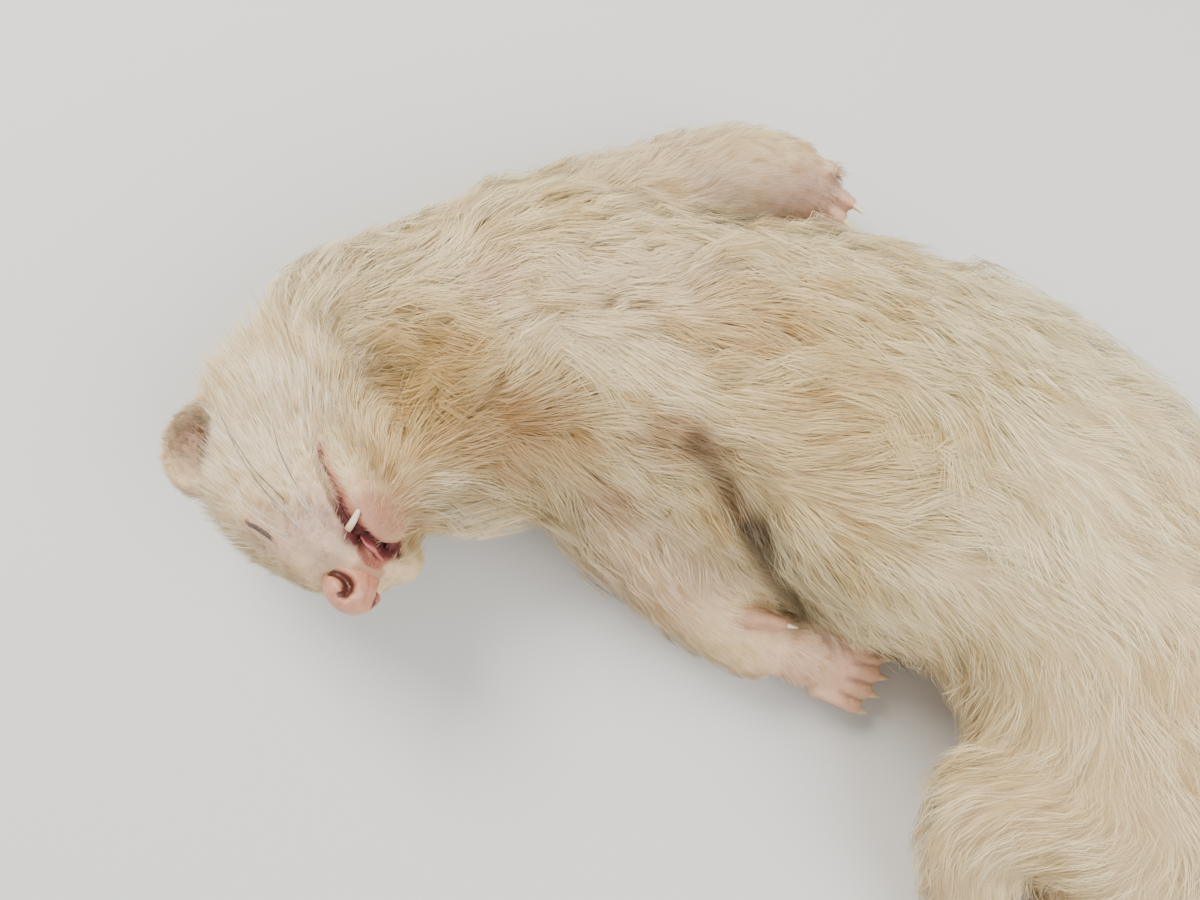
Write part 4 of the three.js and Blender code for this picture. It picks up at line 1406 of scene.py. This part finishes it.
# The depth of a root under the skin.
ROOT_SUNK = 0.35
# A bent tuft's share of length up to its bend, and after it.
FIRST_SHARE = 0.45
SECOND_SHARE = 0.55
# The throat, where the fur lies wilder, with its reach.
THROAT = ((-24, 6, 50), (32, 26, 26))


def unwrap(points, groups):
    """Each point's place on an unwrap of the skin: the angle round its middle line, and the way along."""
    flat = np.zeros((len(points), 2))
    for group in np.unique(groups):
        own = groups == group
        if group == FACE:
            head = to_head(points[own])
            angle = np.arctan2(head[:, 1], head[:, 2] - HEAD_MIDDLE)
            reach = (head[:, 0] + HEAD_BACK) / HEAD_LONG
        elif group in EARS:
            mirror = (1, 1 if group == EAR_LEFT else -1, 1)
            head = (to_head(points[own]) - EAR_AT * mirror) * mirror
            half = np.where(head @ EAR_OPEN > 0, 0.5, -0.5)
            angle = math.pi * (0.5 * head @ EAR_WAY / EAR_LONG + half)
            reach = 0.5 + head @ EAR_RISE / EAR_HIGH
        else:
            line = np.array(LINES[group], float)
            _, along, way = along_line(points[own], line)
            steps = np.concatenate([[0], np.linalg.norm(np.diff(line, axis=0), axis=1).cumsum()])
            middle = np.stack([np.interp(along, steps, line[:, k]) for k in range(3)], 1)
            out = points[own] - middle
            side = unit(np.cross(way, (0, 0, 1)))
            angle = np.arctan2((out * side).sum(1), (out * np.cross(side, way)).sum(1))
            reach = along / steps[-1]
        flat[own, 0] = angle / (2 * math.pi) + 0.5
        flat[own, 1] = reach
    return flat


class FurField:
    """The finished skin's points, with what the fur needs to know there."""

    def __init__(self, mesh):
        net = Net(mesh)
        self.points = net.points()
        self.normals = net.normals()
        self.group = np.round(read_attribute(mesh, "coat_group")).astype(int)
        self.length = read_attribute(mesh, "fur_length")
        self.lie = read_attribute(mesh, "lie")
        self.bare = read_attribute(mesh, "bare")
        self.deep = read_attribute(mesh, "deep")
        mesh.calc_loop_triangles()
        corners = np.empty(len(mesh.loop_triangles) * 3, np.int32)
        mesh.loop_triangles.foreach_get("vertices", corners)
        self.triangles = corners.reshape(-1, 3)
        self.tree = KDTree(net.count)
        for k, point in enumerate(self.points):
            self.tree.insert(point, k)
        self.tree.balance()


def chosen_faces(name, span, centres):
    """Which of the skin's faces a coat piece covers."""
    if name == "coat_face":
        return to_head(centres)[:, 0] > FACE_FROM
    if name == "coat_cheeks":
        return to_head(centres)[:, 0] < CHEEKS_TO
    if span is None:
        return np.ones(len(centres), bool)
    reach = along_line(centres, LINES[TRUNK])[1]
    return (reach >= span[0]) & (reach < span[1])


def fur_roots(field, name, groups, span, count, rng):
    """Random roots on the skin: their places, normals, lie, length, group and bareness."""
    corners = field.triangles
    centres = field.points[corners].mean(1)
    keep = np.isin(field.group[corners[:, 0]], groups)
    keep[keep] &= chosen_faces(name, span, centres[keep])
    corners = corners[keep]
    a, b, c = (field.points[corners[:, k]] for k in range(3))
    area = np.linalg.norm(np.cross(b - a, c - a), axis=1) / 2
    middle = (a + b + c) / 3
    want = area * field.length[corners].mean(1) ** -0.55
    want *= 1 - 0.93 * np.clip(field.bare[corners].mean(1), 0, 1)
    want *= 1 - field.deep[corners].mean(1)
    for line, _, _ in BODY_FOLDS:
        want *= 0.25 + 0.75 * ramp(along_line(middle, line)[0], 1.5, 4.5)
    head = left_half(to_head(middle))
    lids = 0.05 + 0.95 * ramp(along_line(head, EYE_LINE)[0], 0.7, 1.6)
    want *= np.where(field.group[corners[:, 0]] == FACE, lids, 1)
    want *= np.interp(middle[:, 2], (1.5, 12), (0.25, 1.0))
    if name == "coat_cheeks":
        want *= ramp(-head[:, 0], -42, -20)
    total = np.cumsum(want)
    share = (np.arange(count) + rng.random(count)) / count * total[-1]
    picked = corners[np.minimum(np.searchsorted(total, share), len(total) - 1)]
    weight = rng.dirichlet((1, 1, 1), count)

    def spread(values):
        """Values of the skin's points at the roots."""
        return (values[picked] * (weight[:, :, None] if values.ndim == 2 else weight)).sum(1)

    normal, lie = unit(spread(field.normals)), unit(spread(field.lie))
    length, bare = spread(field.length), spread(field.bare)
    return spread(field.points), normal, lie, length, field.group[picked[:, 0]], bare


def lock_of(roots, spacing, rng):
    """The lock that each tuft belongs to: the nearest of a thinned set of roots."""
    cells = {}
    for k in rng.permutation(len(roots)):
        cell = tuple((roots[k] // spacing).astype(int))
        cells.setdefault(cell, k)
    centres = np.array(sorted(cells.values()))
    tree = KDTree(len(centres))
    for k, centre in enumerate(centres):
        tree.insert(roots[centre], k)
    tree.balance()
    return np.array([tree.find(root)[1] for root in roots]), centres


def lock_means(values, lock, locks):
    """The mean of each lock's values, at each of its tufts."""
    total = np.stack([np.bincount(lock, values[:, k], locks) for k in range(3)], 1)
    held = np.maximum(np.bincount(lock, minlength=locks), 1)[:, None]
    return (total / held)[lock]


def bent_places(start, first, length, lift, swing, lock, locks, clump, normal, field, rng):
    """The middles and tips of tufts that bend over to the coat's depth and draw together in locks."""
    count = len(start)
    middle = start + first * (FIRST_SHARE * length)[:, None]
    near = np.array([field.tree.find(point)[1] for point in middle])
    under, over, way = field.points[near], field.normals[near], field.lie[near]
    way = way * np.cos(swing)[:, None] + np.cross(over, way) * np.sin(swing)[:, None]
    height = ((middle - under) * over).sum(1)
    deep = rng.uniform(0.55, 1.5, locks)[lock] * rng.uniform(0.75, 1.3, count)
    goal = length * DEPTH_SHARE * deep + 0.3
    sink = np.clip((goal - height) / (SECOND_SHARE * length), -0.5, 0.4) * np.clip(1.5 - 1.2 * lift, 0.3, 1)
    second = way * np.sqrt(1 - sink**2)[:, None] + over * sink[:, None]
    tip = middle + second * (SECOND_SHARE * length)[:, None]
    draw = clump * rng.uniform(0.5, 1.25, count)
    middle += (0.3 * draw)[:, None] * (lock_means(middle, lock, locks) - middle)
    middle += (0.05 * rng.normal(size=locks)[lock] * length)[:, None] * np.cross(first, normal)
    tip += draw[:, None] * (lock_means(tip, lock, locks) - tip)
    return middle, tip


def lay_unwrap(mesh, roots, group, faces, bent):
    """Gives each tuft a small patch of the unwrap at its root's place."""
    flat = unwrap(roots, group)
    low, high = flat.min(0), flat.max(0)
    flat = 0.005 + 0.985 * (flat - low) / (high - low)
    patch = PATCH * (PATCH_CORNERS if bent else PATCH_CORNERS[1:])
    places = (flat[:, None] + patch[None]).reshape(-1, 2)
    layer = mesh.uv_layers.new(name="OFBake")
    layer.uv.foreach_set("vector", places[faces.ravel()].astype(np.float32).ravel())


def make_coat(name, groups, span, count, bent, settings, field, material):
    """One piece of the coat."""
    rng = np.random.default_rng(sum(map(ord, name)))
    count = int(count * settings.fullness * (1))
    roots, normal, lie, length, group, bare = fur_roots(field, name, groups, span, count, rng)
    lock, centres = lock_of(roots, LOCK_SPACING[bent], rng)
    locks = len(centres)

    def varied(middle, by_lock, by_tuft):
        """Values round a middle that differ from lock to lock and from tuft to tuft."""
        return middle + by_lock * rng.normal(size=locks)[lock] + by_tuft * rng.normal(size=count)

    # The lie swings in broad waves, by lock and by tuft, and more on the throat.
    swing = varied(0.4 * wobble(roots, 46, 5) + 0.32 * wobble(roots, 16, 6), *WAY_VARIES)
    wild = 0.5 * np.exp(-(((roots - THROAT[0]) / THROAT[1]) ** 2).sum(1))
    swing = swing * np.where(group == TRUNK, 1.0 + wild, 0.5)
    lie = unit(lie * np.cos(swing)[:, None] + np.cross(normal, lie) * np.sin(swing)[:, None])
    length = length * np.clip(varied(1, *LENGTH_VARIES), 0.5, 1.5)
    lift = settings.lift * varied(1, *LIFT_VARIES)
    for place, reach, _, higher in FLUFF:
        lift += higher * np.exp(-(((roots - place) ** 2).sum(1) / reach**2))
    lift = np.clip(lift, 0.08, 1.1)
    start = roots - ROOT_SUNK * normal
    first = lie * np.cos(lift)[:, None] + normal * np.sin(lift)[:, None]
    if bent:
        width = settings.width / MM * np.clip(length / 12, 0.55, 1.15) * rng.uniform(0.5, 1.4, count)
        middle, tip = bent_places(
            start, first, length, lift, swing, lock, locks, settings.clump, normal, field, rng
        )
    else:
        width = (0.07 + 0.022 * length) * rng.uniform(0.7, 1.3, count)
        tip = start + first * (length * 1.15)[:, None]

    turn = rng.normal(size=count) * 0.5
    side = np.cross(first, normal)
    side = unit(side * np.cos(turn)[:, None] + normal * np.sin(turn)[:, None])
    top = unit(np.cross(side, first))
    half = 0.5 * width[:, None]
    around = middle if bent else start
    rings = [around - side * half, around + side * half, around + top * half, tip]
    if bent:
        rings.insert(0, start)
    points = np.stack(rings, 1)
    points[:, :, 2] = np.maximum(points[:, :, 2], FUR_FLOOR)
    corners = len(rings)
    triangles = BENT_TRIANGLES if bent else STRAIGHT_TRIANGLES
    faces = (triangles[None] + corners * np.arange(count)[:, None, None]).reshape(-1, 3)
    mesh = mesh_from(name, points.reshape(-1, 3), faces)
    # The hair is lit as the body's own roundness would be, which keeps it soft.
    own = Net(mesh).normals()
    soft = unit(np.repeat(normal, corners, axis=0) + (0.3 if bent else 1.0) * own)
    mesh.normals_split_custom_set_from_vertices(soft.tolist())
    # Locks and tufts differ in tone at random, more widely on the face, where the lighter ones also stand in
    # as painted glints on the hair. They are darker between the locks, as painted shade.
    grain = np.where(group == FACE, 0.28, 0.08 if bent else 0.16)
    tone = varied(0.58, np.where(group == FACE, 0.42, 0.24), grain)
    away = np.linalg.norm(roots - roots[centres][lock], axis=1) / LOCK_SPACING[bent]
    tone = np.clip(tone - 0.44 * ramp(away, 0.3, 0.85) + 0.15 * wobble(roots, 22, 9), 0, 1)
    reach = np.array([0, 0.5, 0.5, 0.5, 1.0] if bent else [0, 0, 0, 1.0])
    write_attribute(mesh, "tone", np.repeat(tone, corners))
    write_attribute(mesh, "reach", np.tile(reach, count))
    write_attribute(mesh, "bare", np.repeat(bare, corners))
    lay_unwrap(mesh, roots, group, faces, bent)
    coat = new_object(name, mesh, material)
    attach(coat, BODY)


class BuildCoat(bpy.types.Operator):
    """The coat, in tufts that lie along the body, short on the face and feet"""

    bl_idname = "ferret.coat"
    bl_label = "Coat"

    def execute(self, context):
        settings = context.scene.ferret_coat
        field = FurField(bpy.data.objects["skin"].data)
        material = coat_material()
        for piece in COAT_PIECES:
            make_coat(*piece, settings, field, material)
        return {"FINISHED"}


# What darkens or brightens the coat's colours: at a light tuft, at a dark one, and at the roots, where it is
# painted shade. The dark tufts also carry the painted shade between the locks.
BRIGHT = (1.1, 1.12, 1.2, 1.0)
DARK = (0.74, 0.62, 0.46, 1.0)
ROOT_SHADE = (0.82, 0.7, 0.54, 1.0)


def coat_material():
    """Soft hair: the coat's colours, lighter or darker by tuft, with painted shade between the locks and at
    the root, and straw at the tip.
    """
    finish = Finish("ferret coat", 0.5, Specular_IOR_Level=0.4)
    ground = finish.use(markings_light_and_shade_group(), Place=finish.place())
    tone = finish.attribute("tone")
    reach = finish.attribute("reach")
    colour = finish.mix(finish.step(tone, 0.4, 1.0), ground, BRIGHT, "MULTIPLY")
    colour = finish.mix(finish.step(tone, 0.0, 0.5, 1.0, 0.0), colour, DARK, "MULTIPLY")
    # Painted shade at the roots, down in the coat.
    colour = finish.mix(finish.step(reach, 0.0, 0.8, 0.7, 0.0), colour, ROOT_SHADE, "MULTIPLY")
    bare = finish.math("MULTIPLY", finish.attribute("bare"), 0.75)
    return finish.coloured(finish.mix(bare, colour, srgb(202, 150, 126)))


class StageSettings(bpy.types.PropertyGroup):
    floor: colour_property("Floor", "Colour of the studio's floor", srgb(222, 221, 218))
    key: FloatProperty(
        name="Key light", description="Strength of the main soft light", default=11.5, min=0, unit="POWER"
    )
    fill: FloatProperty(
        name="Fill light",
        description="Strength of the soft light from the other side",
        default=7.0,
        min=0,
        unit="POWER",
    )
    lens: FloatProperty(
        name="Lens",
        description="Focal length of the camera in millimetres",
        default=30.0,
        min=10,
        subtype="DISTANCE_CAMERA",
    )
    height: FloatProperty(
        name="Camera angle",
        description="How steeply the camera looks down",
        default=math.radians(75),
        min=0,
        max=math.pi / 2,
        subtype="ANGLE",
    )


# The floor's half side in metres, and the camera's place in the plan's millimetres.
FLOOR_HALF = 3.0
CAMERA_AT = (0, -62.375, 257.788)


class BuildStage(bpy.types.Operator):
    """The pale floor, the soft lights and the camera"""

    bl_idname = "ferret.stage"
    bl_label = "Stage"

    def execute(self, context):
        settings = context.scene.ferret_stage
        corners = [(x * FLOOR_HALF, y * FLOOR_HALF, 0) for x, y in ((-1, -1), (1, -1), (1, 1), (-1, 1))]
        mesh = bpy.data.meshes.new("studio_floor")
        mesh.from_pydata(corners, [], [(0, 1, 2, 3)])
        finish = Finish("studio floor", 0.8, settings.floor)
        grain = finish.noise(finish.place(), 900.0)
        tone = finish.speckled(grain, 0.3, 0.7, 0.06, tuple(settings.floor), srgb(206, 205, 202))
        floor = new_object("studio_floor", mesh, finish.coloured(tone))

        world = bpy.data.worlds.new("studio")
        world.use_nodes = True
        sky = world.node_tree.nodes["Background"]
        sky.inputs["Color"].default_value = (1.0, 0.985, 0.96, 1.0)
        sky.inputs["Strength"].default_value = 0.8
        context.scene.world = world
        lamps = (
            ("key", (-0.42, 0.5, 0.75), 0.5, settings.key, (1.0, 0.965, 0.91)),
            ("fill", (0.5, -0.35, 0.6), 0.7, settings.fill, (0.95, 0.97, 1.0)),
        )
        for name, at, size, power, color in lamps:
            lamp = bpy.data.lights.new(name, "AREA")
            lamp.shape = "DISK"
            lamp.size = size
            lamp.energy = power
            lamp.color = color
            light = bpy.data.objects.new(name, lamp)
            light.location = at
            light.rotation_euler = (-Vector(at)).to_track_quat("-Z", "Y").to_euler()
            context.scene.collection.objects.link(light)

        camera = bpy.data.cameras.new("camera")
        camera.lens = settings.lens
        camera.sensor_width = 36
        camera.clip_start = 0.01
        seen = bpy.data.objects.new("camera", camera)
        seen.location = placed(CAMERA_AT)
        seen.rotation_euler = (math.pi / 2 - settings.height, 0, 0)
        context.scene.collection.objects.link(seen)
        context.scene.camera = seen
        return {"FINISHED"}


SETTINGS = {"ferret_skin": SkinSettings, "ferret_face": FaceSettings, "ferret_coat": CoatSettings}
SETTINGS["ferret_stage"] = StageSettings
OPERATORS = (BuildSkin, BuildNose, BuildMouth, BuildEyes, BuildClaws, BuildWhiskers, BuildCoat, BuildStage)


class FerretPanel(bpy.types.Panel):
    """The model's sizes, colours and building steps"""

    bl_idname = "VIEW3D_PT_ferret"
    bl_label = "Ferret"
    bl_space_type = "VIEW_3D"
    bl_region_type = "UI"
    bl_category = "Ferret"

    def draw(self, context):
        for operator in OPERATORS:
            self.layout.operator(operator.bl_idname)
        for name, kind in SETTINGS.items():
            box = self.layout.box()
            for key in kind.__annotations__:
                box.prop(getattr(context.scene, name), key)


def register():
    for kind in (*SETTINGS.values(), *OPERATORS, FerretPanel):
        bpy.utils.register_class(kind)
    for name, kind in SETTINGS.items():
        setattr(bpy.types.Scene, name, PointerProperty(type=kind))


def unregister():
    for name in SETTINGS:
        delattr(bpy.types.Scene, name)
    for kind in reversed((*SETTINGS.values(), *OPERATORS, FerretPanel)):
        bpy.utils.unregister_class(kind)


def main():
    register()
    for operator in OPERATORS:
        area, step = operator.bl_idname.split(".")
        getattr(getattr(bpy.ops, area), step)()


if __name__ == "__main__":
    main()
